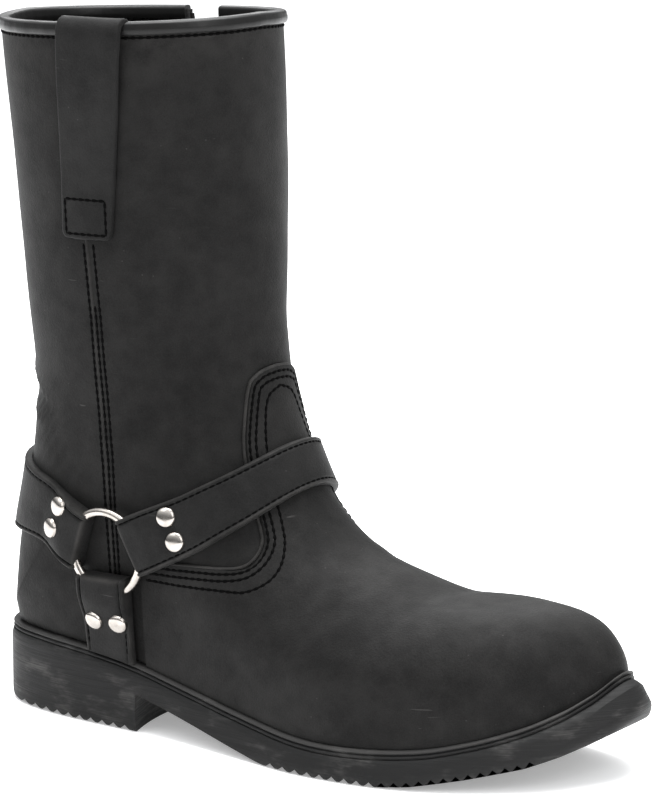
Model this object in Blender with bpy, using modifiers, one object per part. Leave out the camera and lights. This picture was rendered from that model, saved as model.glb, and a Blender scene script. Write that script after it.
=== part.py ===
"""Motorcycle boot for the right foot, with a strap harness, standing on its sole.

X runs to the toe, Y to the wearer's left (the inner side, with the zip) and Z up. The origin is on
the floor under the middle of the heel. Sizes are in millimetres and scaled to metres in one place.
"""
import math

import bmesh
import bpy
import numpy as np
from mathutils import Matrix, Vector
from mathutils.bvhtree import BVHTree

MM = 0.001
GAP = 0.3                  # clearance between pieces that touch
LATERAL, MEDIAL = -1, 1    # sign of Y on the outer and the inner side
BEYOND = 90.0              # a distance from the middle plane that clears the boot
TOE_BEYOND = 320.0         # a place in front of the toe
INSIDE = (120.0, 0.0, 60.0)                # a point inside the upper
WELD, SLIVER = 0.005, 0.002                # points and edges closer or shorter than this are merged
SHARP_ANGLE = math.radians(35)

# Leather
WALL = 2.2                 # upper
VAMP_THICK = 1.2
VAMP_PROUD = GAP + VAMP_THICK
STRAP_THICK = 3.0
STRAP_CLEAR = 0.4          # strap to the leather below it

# Sole edge from above, from the heel round the outer side to the toe and back
SOLE_EDGE = (
    # place               x     y
    ("heel back",        -40,   0),
    ("heel back outer",  -31, -24.5),
    ("heel outer",         0, -37),
    ("waist outer",       60, -43),
    ("joint outer rear", 110, -51),
    ("joint outer",      152, -58),
    ("toe outer rear",   200, -53),
    ("toe outer",        243, -31),
    ("toe tip outer",    262.5, -10),
    ("toe tip",          274,  14),
    ("toe tip inner",    266.5, 34),
    ("toe inner",        241,  44),
    ("joint inner",      185,  50),
    ("joint inner rear", 140,  46),
    ("waist inner",       75,  34),
    ("heel inner",         0,  37),
    ("heel back inner",  -31,  25),
)
SOLE_STATIONS = 28         # cross lines of the sole from heel to toe
EDGE_STEPS = 16            # points of the smooth sole edge to a span
# Sole edge to the upper's lower edge
RIM_WIDTH = (
    # x     width
    (-40,   5.8),
    (-27,   4.2),
    (0,     3.4),
    (40,    4.2),
    (110,   6.0),
    (230,   6.0),
    (274,  11.0),
)
HEEL_LIFT = 0.6            # how much the upper clears the sole behind the heel
HEEL_LIFT_X, HEEL_LIFT_FADE = -26.0, 8.0   # where that starts, and the length in which it grows

# Height of the sole's top, where the upper stands, and of its underside before the arch is cut
SOLE_TOP = ((-40, 37.0), (0, 36.5), (40, 33), (80, 25.5), (120, 18.5), (160, 15), (200, 17.4), (222, 21.6),
            (243, 27.6), (259, 35.3), (267, 41.8), (274, 48.5))
SOLE_UNDER = ((-40, 3.5), (-32, 0), (185, 0), (200, 1.5), (222, 5.6), (243, 10.4), (254, 14.6), (262, 18.6),
              (268, 22.2), (274, 27.5))

# How far the bead at the sole's top is drawn in from the sole's edge
BEAD_DRAW = (
    # x     drawn in
    (-40,   1.5),
    (-20,   0.6),
    (0,     0.4),
    (60,    1.2),
    (110,   2.2),
    (230,   2.6),
    (274,   6.4),
)

# Side of the sole from its top inwards of the bead down to the floor
SOLE_SIDE = (
    # place         outwards  draw share  below top  above floor
    ("rim",          -2.2,     1.0,        0.0,      None),
    ("bead top",     -0.4,     1.0,        0.4,      None),
    ("bead",          0.0,     1.0,        1.2,      None),
    ("bead foot",    -0.3,     1.0,        1.9,      None),
    ("groove top",   -1.0,     0.95,       2.4,      None),
    ("groove foot",  -1.0,     0.9,        3.6,      None),
    ("band",         -0.1,     0.8,        4.2,      None),
    ("wall",          0.0,     0.05,      None,      5.0),
    ("wall foot",    -0.2,     0.0,       None,      1.8),
    ("tread edge",   -2.0,     0.0,       None,      0.0),
)

# Arch and heel breast
BREAST_X = 51.0
BREAST_HOLLOW = 8.0        # how far the breast curves in at its middle
BREAST_HALF, BREAST_LINES = 42.0, 7
ARCH = ((51, 17.5), (68, 13.8), (100, 6.5), (129, 0))
CUT_BELOW = 5.0            # how far cutters reach below the floor

# Saw-tooth tread along both edges
TOOTH_PITCH = 6.3
TOOTH_DEPTH = 2.5
TOOTH_CUT = 5.6            # width of a notch at the floor
TOOTH_LENGTH = 14.0        # inwards from the edge
NOTCH_BELOW, NOTCH_BEYOND = 0.15, 6.0       # how far a notch's cutter passes the floor and the edge
TREAD_ZONES = (("heel", -19, 48), ("forefoot", 133, 246))

# Sections of the upper: ridge point, far point (on the sole where its height is None), belly and fullness
SECTIONS = (
    # name         ridge x   z     far x   z     belly at outer inner ridge y low n ridge n
    ("toe guide",     210,  76.2,    210,  None,   0.40,    48, 45.5,    4,   1.6,   2.5),
    ("ball",          185,  66.7,    185,  None,   0.38,    51, 46.5,    4,   1.6,   2.8),
    ("vamp",        159.5,  74.7,    160,  None,   0.36,  53.5, 46.0,    5,   1.6,   2.1),
    ("low instep",  136.5,  85.2,    132,  None,   0.35,  50.5, 43.0,    6,   1.6,   1.9),
    ("instep",        118, 105.3,     95,  None,   0.36,  45.5, 39.5,    5,   1.6,  1.85),
    ("high instep", 106.6, 132.3,     58,  None,   0.40,    42, 38.5,    4,   1.6,   1.9),
    ("throat",      100.7,   157,     18,  None,   0.45,  41.6, 39.2,    3,   1.7,   2.0),
    ("heel seat",    99.8,   178,    -17,  None,   0.48,  42.6, 40.7,    2,   1.8,   2.0),
    ("heel corner",  99.6,   192,  -34.2,  37.6,   0.50,  43.5, 42.2,  1.5,   1.9,   2.0),
    ("counter",      99.4,   207,  -30.3,    70,   0.50,  44.8, 44.0,    1,   2.0,  2.05),
    ("counter top",  99.1,   225,  -22.4,   105,   0.50,  46.4, 46.0,  0.5,   2.0,  2.05),
    ("ankle",        98.7,   243,  -18.6,   143,   0.50,  47.8, 47.7,    0,   2.0,   2.1),
    ("low shaft",    98.4,   262,  -22.6,   190,   0.50,    49,   49,    0,   2.0,   2.1),
    ("mid shaft",    98.2,   286,  -26.2,   242,   0.50,  50.5, 50.5,    0,   2.0,   2.1),
    ("collar",         97, 312.6,  -31.6,   308,   0.50,    52,   52,    0,   2.0,   2.1),
)
BALL, VAMP, HEEL_SEAT, HEEL_CORNER = 1, 2, 7, 8    # rows of the table; the guide only slopes the ball
COLLAR_DIP = 3.2                           # how much lower the collar lies on its inner side
SHAFT_SPANS = 3.0                          # spans above the heel in which its plan turns into the shaft's
BACK_N = 2.15                              # fullness of the shaft behind its belly
ROWS_PER_SPAN, HEEL_ROWS = 2, 4
LOW_STEPS, RIDGE_STEPS = 5, 7              # points of half a section below and above the belly
RIDGE_LEAN = 1.5                           # how late the section leans over to its ridge
TOE_COLUMNS = 13
TOE_TIP_X, TOE_TIP_Z = 261.6, 43.0         # the toe's belly at its tip
TIP_FULL, TIP_SLANT = 7.0, 1.3             # fullness of the toe's top edge and of its front at the tip

# Vamp: edge seen from the front, on one side, from its tongue down to the side seam
SIDE_SEAM_X = 41.0
VAMP_EDGE = ((0, 162), (8, 160.5), (14.5, 155), (18.5, 141), (20.5, 132), (23, 118), (27.5, 95), (29.5, 90),
             (33, 84.5), (37, 80.5), (42, 79))
VAMP_FOOT = (0.3, 0.7)      # shares of the second facet above the sole where the vamp's lowest points lie

# Insole
INSOLE_THICK = 3.0
INSOLE_INSET = WALL + 1.0   # from the upper's lower edge
INSOLE_RIM_SHARE = 1.45     # of the sole's rim, so that it stays clear of the leaning toe
INSOLE_STATIONS = 20

# Collar binding and pull strap
BINDING_THICK, BINDING_HEIGHT, BINDING_ROUND = 1.2, 3.8, 0.4
PULL_X, PULL_WIDTH, PULL_THICK = 38.0, 25.0, 2.2     # the place and width are those of its foot
PULL_LEAN, PULL_FLARE = 6.4, 7.0           # how much further forward and wider it is at the collar
PULL_FOOT, PULL_INSIDE_FOOT, PULL_STATIONS = 219.0, 262.0, 6
PULL_CLEAR = GAP + BINDING_THICK + 0.9     # from the shaft's leather where it passes the binding
PULL_BELOW_RIM = 6.0                       # where the outside run ends and the turn starts
PULL_INSIDE_STEP = 12.0                    # below the rim, where the inside run starts
# Turn over the collar: towards the other run, and height above the rim
PULL_TURN = ((0.0, 0.6), (1.2, 2.6))

# Harness
RING_X, RING_Z = 41.0, 81.0
RING_RADIUS, WIRE_RADIUS = 18.3, 2.0
RING_LIFT = 5.2            # wire centre above the leather
RING_LEAN = 0.06           # slope of the boot's side at the ring
RING_SEGMENTS, WIRE_SEGMENTS = 20, 8
FOLD_THICK = 1.1           # leather over the wire
STRAP_END, STAY_END = 12.8, 10.3           # folded ends from the ring's centre
FOLD_FULL, FOLD_FADE = RING_RADIUS + 4, 16.0
STRAPS = (
    # node           forward  slope  width at ring  width half way  clearance                 stations
    ("strap_instep",   1,      26,   26.8,          21.5,           VAMP_PROUD + STRAP_CLEAR, 30),
    ("strap_heel",    -1,      20,   27.0,          37.0,           STRAP_CLEAR,              26),
)
# Middle of each strap above the sloping plane through its ring, by its share of the way to the other ring
STRAP_RISE = {
    "strap_instep": ((0.0, -2.4), (0.07, -2.8), (0.17, -3.3), (0.30, -1.2), (0.45, 2.6), (0.5, 3.0)),
    "strap_heel": ((0.0, -1.5), (0.06, -0.6), (0.15, 1.8), (0.31, -3.6), (0.5, -7.6)),
}
SLICE_PLACES = (-28.0, -14.0, 0.0, 20.0)   # above that plane, of the slices a strap is laid on
SLICE_INSIDE = 40.0        # from the ring forwards to the point inside the boot that a slice is seen from
SLICE_REACH = np.radians(np.arange(-150, 150.5, 1.0))
SLICE_POINTS = 400
STAY_X, STAY_WIDTH, STAY_STATIONS = 38.0, 26.0, 7
STAY_ABOVE_SOLE, STAY_CLEAR = 1.2, 0.6
RIVET_RADIUS, RIVET_HEIGHT, RIVET_STEPS = 4.5, 1.9, 10
RIVET_DOME = ((0.0, 1.0), (0.5, 0.86), (0.87, 0.45), (1.0, 0.0))    # shares of the radius and the height
RIVET_SHARP = math.radians(50)
SEAT_RAYS, SEAT_RAY_START = 16, 20.0
RIVETS = (
    # name      x     z, in side view
    ("front_upper", 73.0, 100.4),
    ("front_lower", 77.8,  90.1),
    ("rear_upper",  17.2,  99.2),
    ("rear_lower",  11.9,  88.8),
    ("stay_rear",   32.3,  49.1),
    ("stay_front",  45.9,  49.4),
)

# Zip on the inner side
ZIP_X, ZIP_FOOT, ZIP_TOP = 30.0, 110.0, 296.0
ZIP_HALF, ZIP_MOUTH_HALF, ZIP_MOUTH_Z, ZIP_MOUTH_RISE = 4.5, 8.0, 290.0, 14.0
ZIP_CUT_TOP, ZIP_CUT_Y = 335.0, (25.0, 75.0)
CHAIN_THICK, CHAIN_SUNK, CHAIN_STATIONS = 1.2, 0.5, 12
SLIDER_Z, SLIDER_HALF_X, SLIDER_HALF_Z, SLIDER_THICK = 287.0, 4.0, 7.0, 2.2
CHEEK_IN, CHEEK_OUT, CHEEK_HEIGHT, CHEEK_REACH = 1.6, 2.8, 4.6, 3.4
CHEEK_TOP = SLIDER_Z + SLIDER_HALF_Z - 0.6
CHEEK_SUNK = 0.8
KNUCKLE_RADIUS, KNUCKLE_HALF, KNUCKLE_SIDES = 1.3, 1.3, 12
HINGE_LIFT = 1.9           # hinge axis above the slider's face
PULL_TAB_OUTLINE = ((1.2, 0.0), (1.2, -5.0), (2.6, -7.5), (3.4, -22.0), (2.4, -25.5))
PULL_TAB_THICK = 1.4


def spline(points, params, closed=False):
    """Smooth curve through points, read at params that count the spans."""
    p = np.asarray(points, float)
    n = len(p)
    t = np.asarray(params, float)
    i = np.floor(t).astype(int)
    if closed:
        a, b, c, d = (p[(i + k) % n] for k in (-1, 0, 1, 2))
    else:
        i = np.clip(i, 0, n - 2)
        full = np.vstack([2 * p[0] - p[1], p, 2 * p[-1] - p[-2]])
        a, b, c, d = (full[i + k] for k in (0, 1, 2, 3))
    u = (t - i)[:, None]
    bend = (2 * a - 5 * b + 4 * c - d) * u**2 + (3 * b - a - 3 * c + d) * u**3
    return 0.5 * (2 * b + (c - a) * u + bend)


def spline_table(points, per_span=12):
    """Dense points of the smooth curve through points."""
    return spline(points, np.linspace(0, len(points) - 1, (len(points) - 1) * per_span + 1))


TOP_TABLE = spline_table(SOLE_TOP)


def sole_top(x):
    return np.interp(x, TOP_TABLE[:, 0], TOP_TABLE[:, 1])


def sole_under(x):
    knots = np.array(SOLE_UNDER, float)
    return np.interp(x, knots[:, 0], knots[:, 1])


def sole_branches(offset, rim_share=0.0, draw_share=0.0):
    """Outer and inner sole edge from heel to toe, moved outwards by offset, inwards by rim and draw."""
    knots = [row[1:] for row in SOLE_EDGE]
    edge = spline(knots, np.arange(0, len(knots), 1 / EDGE_STEPS), closed=True)
    step = np.roll(edge, -1, 0) - np.roll(edge, 1, 0)
    normal = np.stack([step[:, 1], -step[:, 0]], 1)
    rim, draw = (np.interp(edge[:, 0], *np.transpose(table)) for table in (RIM_WIDTH, BEAD_DRAW))
    outwards = (offset - rim_share * rim - draw_share * draw) / np.linalg.norm(normal, axis=1)
    edge = edge + outwards[:, None] * normal
    back, tip = edge[:, 0].argmin(), edge[:, 0].argmax()
    edge = np.roll(edge, -back, 0)
    tip = (tip - back) % len(edge)
    outer = edge[:tip + 1]
    inner = np.vstack([edge[tip:], edge[:1]])[::-1]
    return outer, inner


def read_branch(branch, x):
    return np.interp(x, branch[:, 0], branch[:, 1])


FOOT_OUTER, FOOT_INNER = sole_branches(0.0, 1.0)


def foot_edge(x, side):
    """Distance of the upper's lower edge from the middle plane."""
    return side * read_branch(FOOT_OUTER if side < 0 else FOOT_INNER, x)


def sole_loop(offset, stations, rim_share=0.0, draw_share=0.0):
    """Closed sole edge as plan points: outer side forwards, inner side back."""
    outer, inner = sole_branches(offset, rim_share, draw_share)
    share = 0.5 - 0.5 * np.cos(np.linspace(0, math.pi, stations + 1))
    x = outer[0, 0] + (outer[-1, 0] - outer[0, 0]) * share
    there = np.stack([x, read_branch(outer, x)], 1)
    back = np.stack([x, read_branch(inner, x)], 1)[-2:0:-1]
    return np.vstack([there, back])


def loop_cap(start, stations, flip):
    """Faces across a sole loop whose first vertex is start."""
    count = 2 * stations
    faces = []
    for i in range(stations):
        quad = [start + i, start + i + 1, start + (count - i - 1) % count, start + (count - i) % count]
        quad = list(dict.fromkeys(quad))
        faces.append(quad[::-1] if flip else quad)
    return faces


def loft(loops):
    """Vertices and side faces of closed loops that have the same number of points."""
    count = len(loops[0])
    faces = []
    for r in range(len(loops) - 1):
        for i in range(count):
            j = (i + 1) % count
            faces.append([r * count + i, r * count + j, (r + 1) * count + j, (r + 1) * count + i])
    return np.vstack(loops), faces


def make_collection(name):
    collection = bpy.data.collections.new(name)
    bpy.context.scene.collection.children.link(collection)
    return collection


def make_material(name, colour, roughness, metallic=0.0):
    material = bpy.data.materials.new(name)
    material.use_nodes = True
    shader = material.node_tree.nodes["Principled BSDF"]
    shader.inputs["Base Color"].default_value = (*colour, 1.0)
    shader.inputs["Roughness"].default_value = roughness
    shader.inputs["Metallic"].default_value = metallic
    return material


def to_bmesh(points, faces):
    """Welded triangles, in millimetres."""
    bm = bmesh.new()
    verts = [bm.verts.new(p) for p in points]
    for face in faces:
        bm.faces.new([verts[i] for i in face])
    bmesh.ops.remove_doubles(bm, verts=bm.verts, dist=WELD)
    bmesh.ops.dissolve_degenerate(bm, edges=bm.edges, dist=SLIVER)
    bmesh.ops.triangulate(bm, faces=bm.faces)
    bmesh.ops.recalc_face_normals(bm, faces=bm.faces)
    return bm


def finish_object(name, bm, material=None, collection=None, smooth=True):
    """Object in metres from a mesh in millimetres."""
    bmesh.ops.scale(bm, vec=(MM, MM, MM), verts=bm.verts)
    mesh = bpy.data.meshes.new(name)
    bm.to_mesh(mesh)
    bm.free()
    if smooth:
        mesh.shade_smooth()
        mesh.set_sharp_from_angle(angle=SHARP_ANGLE)
    obj = bpy.data.objects.new(name, mesh)
    (collection or PARTS).objects.link(obj)
    if material:
        mesh.materials.append(material)
    return obj


def make_cutter(name, points, faces):
    obj = finish_object(name, to_bmesh(points, faces), collection=CUTTERS, smooth=False)
    obj.hide_render = True
    obj.display_type = 'WIRE'
    return obj


def cut(obj, cutter, operation='DIFFERENCE'):
    modifier = obj.modifiers.new(f"{operation.lower()} {cutter.name}", 'BOOLEAN')
    modifier.object = cutter
    modifier.operation = operation
    modifier.solver = 'EXACT'


def prism(outline, axis, start, end):
    """Points and faces of a closed outline pushed along an axis; outline rows skip that axis."""
    low = np.insert(np.asarray(outline, float), axis, start, axis=1)
    high = np.insert(np.asarray(outline, float), axis, end, axis=1)
    points, faces = loft([low, high])
    count = len(low)
    faces += [list(range(count))[::-1], list(range(count, 2 * count))]
    return points, faces


# Sole

def sole_height(x, below_top, above_floor):
    if below_top is None:
        return sole_under(x) + above_floor
    return sole_top(x) - GAP - below_top


def make_outsole():
    loops = []
    for _, outwards, draw_share, below_top, above_floor in SOLE_SIDE:
        plan = sole_loop(outwards, SOLE_STATIONS, draw_share=draw_share)
        loops.append(np.column_stack([plan, sole_height(plan[:, 0], below_top, above_floor)]))
    points, faces = loft(loops)
    faces += loop_cap(0, SOLE_STATIONS, False)
    faces += loop_cap(2 * SOLE_STATIONS * (len(loops) - 1), SOLE_STATIONS, True)
    sole = finish_object("outsole", to_bmesh(points, faces), RUBBER)
    cut(sole, waist_cutter())
    cut(sole, tread_cutter())
    return sole


def waist_cutter():
    """The space under the arch, behind it the hollow heel breast."""
    loops = []
    for y in (-BEYOND, *np.linspace(-BREAST_HALF, BREAST_HALF, BREAST_LINES), BEYOND):
        hollow = BREAST_HOLLOW * max(0.0, 1 - (y / BREAST_HALF) ** 2)
        profile = [(BREAST_X - hollow, -CUT_BELOW), (BREAST_X - hollow, ARCH[0][1])]
        profile += list(ARCH[1:]) + [(ARCH[-1][0] + CUT_BELOW, -CUT_BELOW)]
        loops.append(np.array([(x, y, z) for x, z in profile]))
    points, faces = loft(loops)
    count = len(loops[0])
    last = count * (len(loops) - 1)
    faces += [list(range(count)), list(range(last, last + count))[::-1]]
    return make_cutter("waist_cutter", points, faces)


def tread_cutter():
    """One notch a tooth along both edges, following the toe spring."""
    outer, inner = sole_branches(0.0)
    points, faces = [], []
    half = TOOTH_CUT / 2
    half_low = half * (TOOTH_DEPTH + NOTCH_BELOW) / TOOTH_DEPTH
    for _, start, end in TREAD_ZONES:
        for x in np.arange(start, end, TOOTH_PITCH):
            for branch, side in ((outer, LATERAL), (inner, MEDIAL)):
                edge = side * read_branch(branch, x)
                notch = [(x - half_low, sole_under(x - half) - NOTCH_BELOW),
                         (x + half_low, sole_under(x + half) - NOTCH_BELOW),
                         (x, sole_under(x) + TOOTH_DEPTH)]
                y0, y1 = sorted((side * (edge - TOOTH_LENGTH), side * (edge + NOTCH_BEYOND)))
                new_points, new_faces = prism(notch, 1, y0, y1)
                faces += [[i + len(points) for i in face] for face in new_faces]
                points += list(new_points)
    return make_cutter("tread_cutter", points, faces)


def make_insole():
    plan = sole_loop(-INSOLE_INSET, INSOLE_STATIONS, INSOLE_RIM_SHARE)
    low = np.column_stack([plan, sole_top(plan[:, 0])])
    points, faces = loft([low, low + (0, 0, INSOLE_THICK)])
    faces += loop_cap(0, INSOLE_STATIONS, True)
    faces += loop_cap(2 * INSOLE_STATIONS, INSOLE_STATIONS, False)
    return finish_object("insole", to_bmesh(points, faces), LINING)


# Upper

def section_params():
    """Places along the section table, closer together where the sections close behind the heel."""
    early = np.arange(BALL, HEEL_SEAT, 1 / ROWS_PER_SPAN)
    turn = HEEL_SEAT + np.arange(HEEL_ROWS) / HEEL_ROWS
    late = np.arange(HEEL_CORNER, len(SECTIONS) - 1, 1 / ROWS_PER_SPAN)
    return np.concatenate([early, turn, late, [len(SECTIONS) - 1]])


def low_steps():
    return 1 - np.cos(np.linspace(0, math.pi / 2, LOW_STEPS + 1)[:-1])


def ridge_steps():
    f = np.cos(np.linspace(0, math.pi / 2, RIDGE_STEPS + 1))
    f[-1] = 0
    return f


def bulge(u, n):
    """Superellipse quarter: 0 at u = 0, 1 at u = 1."""
    return (1 - (1 - u) ** n) ** (1 / n)


def section_values(param):
    rows = [row[1:4] + (sole_top(row[3]) if row[4] is None else row[4],) + row[5:] for row in SECTIONS]
    values = spline(rows, [param])[0]
    far = [row[2:4] for row in rows]
    if param < HEEL_CORNER:
        # The far end slows down into the heel's corner and out of it, so that no crease starts there
        values[2] = spline(far[:HEEL_CORNER + 1] + [far[HEEL_SEAT]], [param])[0][0]
        lifted = np.clip((HEEL_LIFT_X - values[2]) / HEEL_LIFT_FADE, 0, 1)
        values[3] = sole_top(values[2]) + HEEL_LIFT * lifted
    else:
        values[2:4] = spline([far[HEEL_CORNER + 1]] + far[HEEL_CORNER:], [param - HEEL_CORNER + 1])[0]
    return values


def section_points(param):
    """One section of the upper, from its outer far end over the ridge to its inner far end."""
    fx, fz, bx, bz, at, outer, inner, ridge, low_n, ridge_n = section_values(param)
    shift = bx - SECTIONS[HEEL_CORNER][3] if param > HEEL_CORNER else 0.0
    shaft = np.clip((param - HEEL_CORNER) / SHAFT_SPANS, 0, 1)
    shaft = shaft**2 * (3 - 2 * shaft)
    dip = COLLAR_DIP * np.clip(param - len(SECTIONS) + 2, 0, 1)
    u, f = low_steps(), ridge_steps()
    low_h, high_h = at * u, at + (1 - at) * (1 - f**ridge_n) ** (1 / ridge_n)
    halves = []
    for side, belly in ((LATERAL, outer), (MEDIAL, inner)):
        plan = foot_edge(bx - shift + (fx - bx) * np.append(low_h, at), side)
        low_y = plan[:-1] + (belly - plan[-1]) * bulge(u, low_n)
        low_y += shaft * (belly * bulge(u, BACK_N) - low_y)
        h, y = np.append(low_h, high_h), np.append(low_y, belly * f)
        lean = np.clip((h - at) / (1 - at), 0, 1) ** RIDGE_LEAN
        z = bz + (fz - bz) * h - (dip * y / belly if side == MEDIAL else 0.0)
        halves.append(np.stack([bx + (fx - bx) * h, side * y + ridge * lean, z], 1))
    return np.vstack([halves[0], halves[1][-2::-1]])


def toe_column(phi):
    """One line of the toe, from the sole up to the ridge of the ball section, which it leaves out."""
    _, fz, bx, bz, at, outer, inner, ridge, low_n, ridge_n = section_values(BALL)
    side = LATERAL if phi < 0 else MEDIAL
    foot = np.vstack([FOOT_OUTER, FOOT_INNER])
    angle = np.arctan2(foot[:, 1], foot[:, 0] - bx)
    order = np.argsort(angle)
    reach = np.interp(phi, angle[order], np.hypot(foot[:, 0] - bx, foot[:, 1])[order])
    swell_side = (outer if side < 0 else inner) / foot_edge(bx, side) - 1
    swell_tip = (TOE_TIP_X - bx) / (foot[:, 0].max() - bx) - 1
    belly = reach * (1 + swell_side * math.sin(phi) ** 2 + swell_tip * math.cos(phi) ** 2)
    foot_z = sole_top(bx + reach * math.cos(phi))
    tip_rise = TOE_TIP_Z - sole_top(TOE_TIP_X)
    rise = tip_rise + (at * (fz - bz) - tip_rise) * math.sin(phi) ** 2

    u, f = low_steps(), ridge_steps()[:-1]
    r = reach + max(belly - reach, 0) * bulge(u, low_n) + min(belly - reach, 0) * u
    low = np.stack([bx + r * math.cos(phi), r * math.sin(phi), foot_z + rise * u], 1)

    tip = math.cos(phi) ** 2
    full, slant = (ridge_n + (n - ridge_n) * tip for n in (TIP_FULL, TIP_SLANT))
    crown = (1 - f**full) ** (1 / slant)
    x, y = bx + belly * f * math.cos(phi), belly * f * math.sin(phi) + ridge * crown**RIDGE_LEAN
    vamp, guide = SECTIONS[VAMP], SECTIONS[0]
    slope = (vamp[2] - guide[2]) / (vamp[1] - guide[1])
    z = foot_z + rise + (fz - foot_z - rise) * crown + slope * (x - bx) * (1 - f * f) ** 2
    return np.vstack([low, np.stack([x, y, z], 1)])


def lift_foot(line):
    """Move the two lowest points of a line up along its second facet."""
    low, step = line[1].copy(), line[2] - line[1]
    line[0], line[1] = (low + share * step for share in VAMP_FOOT)


def upper_surface(params, lifted=False):
    """Open outer surface of the upper, or of the vamp where its foot is lifted off the sole."""
    grid = [section_points(t) for t in params]
    width = len(grid[0])
    pole = width // 2
    columns = [toe_column(phi) for phi in np.linspace(-math.pi / 2, math.pi / 2, TOE_COLUMNS)[1:-1]]
    if lifted:
        for line in grid + [row[::-1] for row in grid] + columns:
            lift_foot(line)
    faces = []
    for r in range(len(grid) - 1):
        for c in range(width - 1):
            faces.append([r * width + c, r * width + c + 1, (r + 1) * width + c + 1, (r + 1) * width + c])
    start = len(grid) * width
    lines = [list(range(pole))]
    lines += [list(range(start + k * pole, start + (k + 1) * pole)) for k in range(len(columns))]
    lines += [list(range(width - 1, pole, -1))]
    for a, b in zip(lines, lines[1:]):
        for k in range(pole - 1):
            faces.append([a[k], b[k], b[k + 1], a[k + 1]])
        faces.append([a[-1], b[-1], pole])
    bm = to_bmesh(np.vstack(grid + columns), faces)
    bm.verts.ensure_lookup_table()
    if sum((f.calc_center_median() - Vector(INSIDE)).dot(f.normal) for f in bm.faces) < 0:
        bmesh.ops.reverse_faces(bm, faces=bm.faces)
    bm.normal_update()
    return bm


def add_wall(obj, thickness, outwards):
    solidify = obj.modifiers.new("wall", 'SOLIDIFY')
    solidify.thickness = thickness * MM
    solidify.offset = 1.0 if outwards else -1.0


def make_upper(bm):
    upper = finish_object("upper", bm.copy(), LEATHER)
    add_wall(upper, WALL, False)
    cut(upper, ZIP_CUTTER)
    return upper


def make_vamp():
    """Overlay between two forms off the upper, cut to the vamp's edge as seen from the front."""
    params = section_params()
    bm = upper_surface(params[params <= HEEL_SEAT], lifted=True)
    for vert in bm.verts:
        vert.co += vert.normal * GAP
    vamp = finish_object("vamp", bm, LEATHER)
    add_wall(vamp, VAMP_THICK, True)
    half = list(VAMP_EDGE) + [(BEYOND, VAMP_EDGE[-1][1]), (BEYOND, -CUT_BELOW)]
    outline = half + [(-y, z) for y, z in half[:0:-1]]
    cut(vamp, make_cutter("vamp_cutter", *prism(outline, 0, SIDE_SEAM_X, TOE_BEYOND)), 'INTERSECT')
    return vamp


def make_zip_cutter():
    half = [(ZIP_HALF, ZIP_FOOT - GAP), (ZIP_HALF, ZIP_MOUTH_Z)]
    half += [(ZIP_MOUTH_HALF, ZIP_MOUTH_Z + ZIP_MOUTH_RISE), (ZIP_MOUTH_HALF, ZIP_CUT_TOP)]
    outline = [(ZIP_X + x, z) for x, z in half] + [(ZIP_X - x, z) for x, z in half[::-1]]
    return make_cutter("zip_cutter", *prism(outline, 1, *ZIP_CUT_Y))


def make_binding():
    """Folded strip over the collar, from the upper's last two sections."""
    rim, below = (section_points(len(SECTIONS) - 1 - step)[:-1] for step in (0, 1 / ROWS_PER_SPAN))
    down = below - rim
    down /= np.linalg.norm(down, axis=1)[:, None]
    step = np.roll(rim, -1, 0) - np.roll(rim, 1, 0)
    out = np.stack([-step[:, 1], step[:, 0], 0 * step[:, 0]], 1)
    out /= np.linalg.norm(out, axis=1)[:, None]
    out *= np.sign((out * (rim - rim.mean(0))).sum(1))[:, None]
    inner, thick, slack = WALL + 2 * GAP, BINDING_THICK, GAP
    profile = (
        # outwards               down
        (slack,                  BINDING_HEIGHT),
        (slack,                  -slack),
        (-inner,                 -slack),
        (-inner,                 BINDING_HEIGHT),
        (-inner - thick,         BINDING_HEIGHT),
        (-inner - thick,         -slack),
        (-inner + BINDING_ROUND, -slack - thick),
        (slack - BINDING_ROUND,  -slack - thick),
        (slack + thick,          -slack),
        (slack + thick,          BINDING_HEIGHT),
    )
    loops = [rim + o * out + d * down for o, d in profile]
    points, faces = loft(loops + [loops[0]])
    binding = finish_object("collar_binding", to_bmesh(points, faces), BINDING)
    cut(binding, ZIP_CUTTER)
    return binding


# Ribbons

def ribbon(inner, outer):
    """Closed strap from two grids of points, stations by points across."""
    stations, across = inner.shape[:2]
    loops = [np.vstack([inner[m], outer[m][::-1]]) for m in range(stations)]
    points, faces = loft(loops)
    count = 2 * across
    for start, flip in ((0, False), (count * (stations - 1), True)):
        for k in range(across - 1):
            quad = [start + k, start + k + 1, start + count - 2 - k, start + count - 1 - k]
            faces.append(quad[::-1] if flip else quad)
    return points, faces


def grid_normals(grid, away_from):
    along = np.gradient(grid, axis=0)
    across = np.gradient(grid, axis=1)
    normal = np.cross(along, across)
    normal /= np.linalg.norm(normal, axis=2)[:, :, None]
    outward = ((grid - away_from) * normal).sum() > 0
    return normal if outward else -normal


def convex_chain(points):
    """Taut line round plane points that run anticlockwise from first to last."""
    chain = []
    for p in points:
        while len(chain) > 1:
            a, b = chain[-2], chain[-1]
            turn = (b[0] - a[0]) * (p[1] - b[1]) - (b[1] - a[1]) * (p[0] - b[0])
            if turn > 0:
                break
            chain.pop()
        chain.append(p)
    return np.array(chain)


def even_points(line, count):
    length = np.concatenate([[0], np.cumsum(np.linalg.norm(np.diff(line, axis=0), axis=1))])
    return np.stack([np.interp(np.linspace(0, length[-1], count), length, line[:, k]) for k in (0, 1)], 1)


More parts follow.
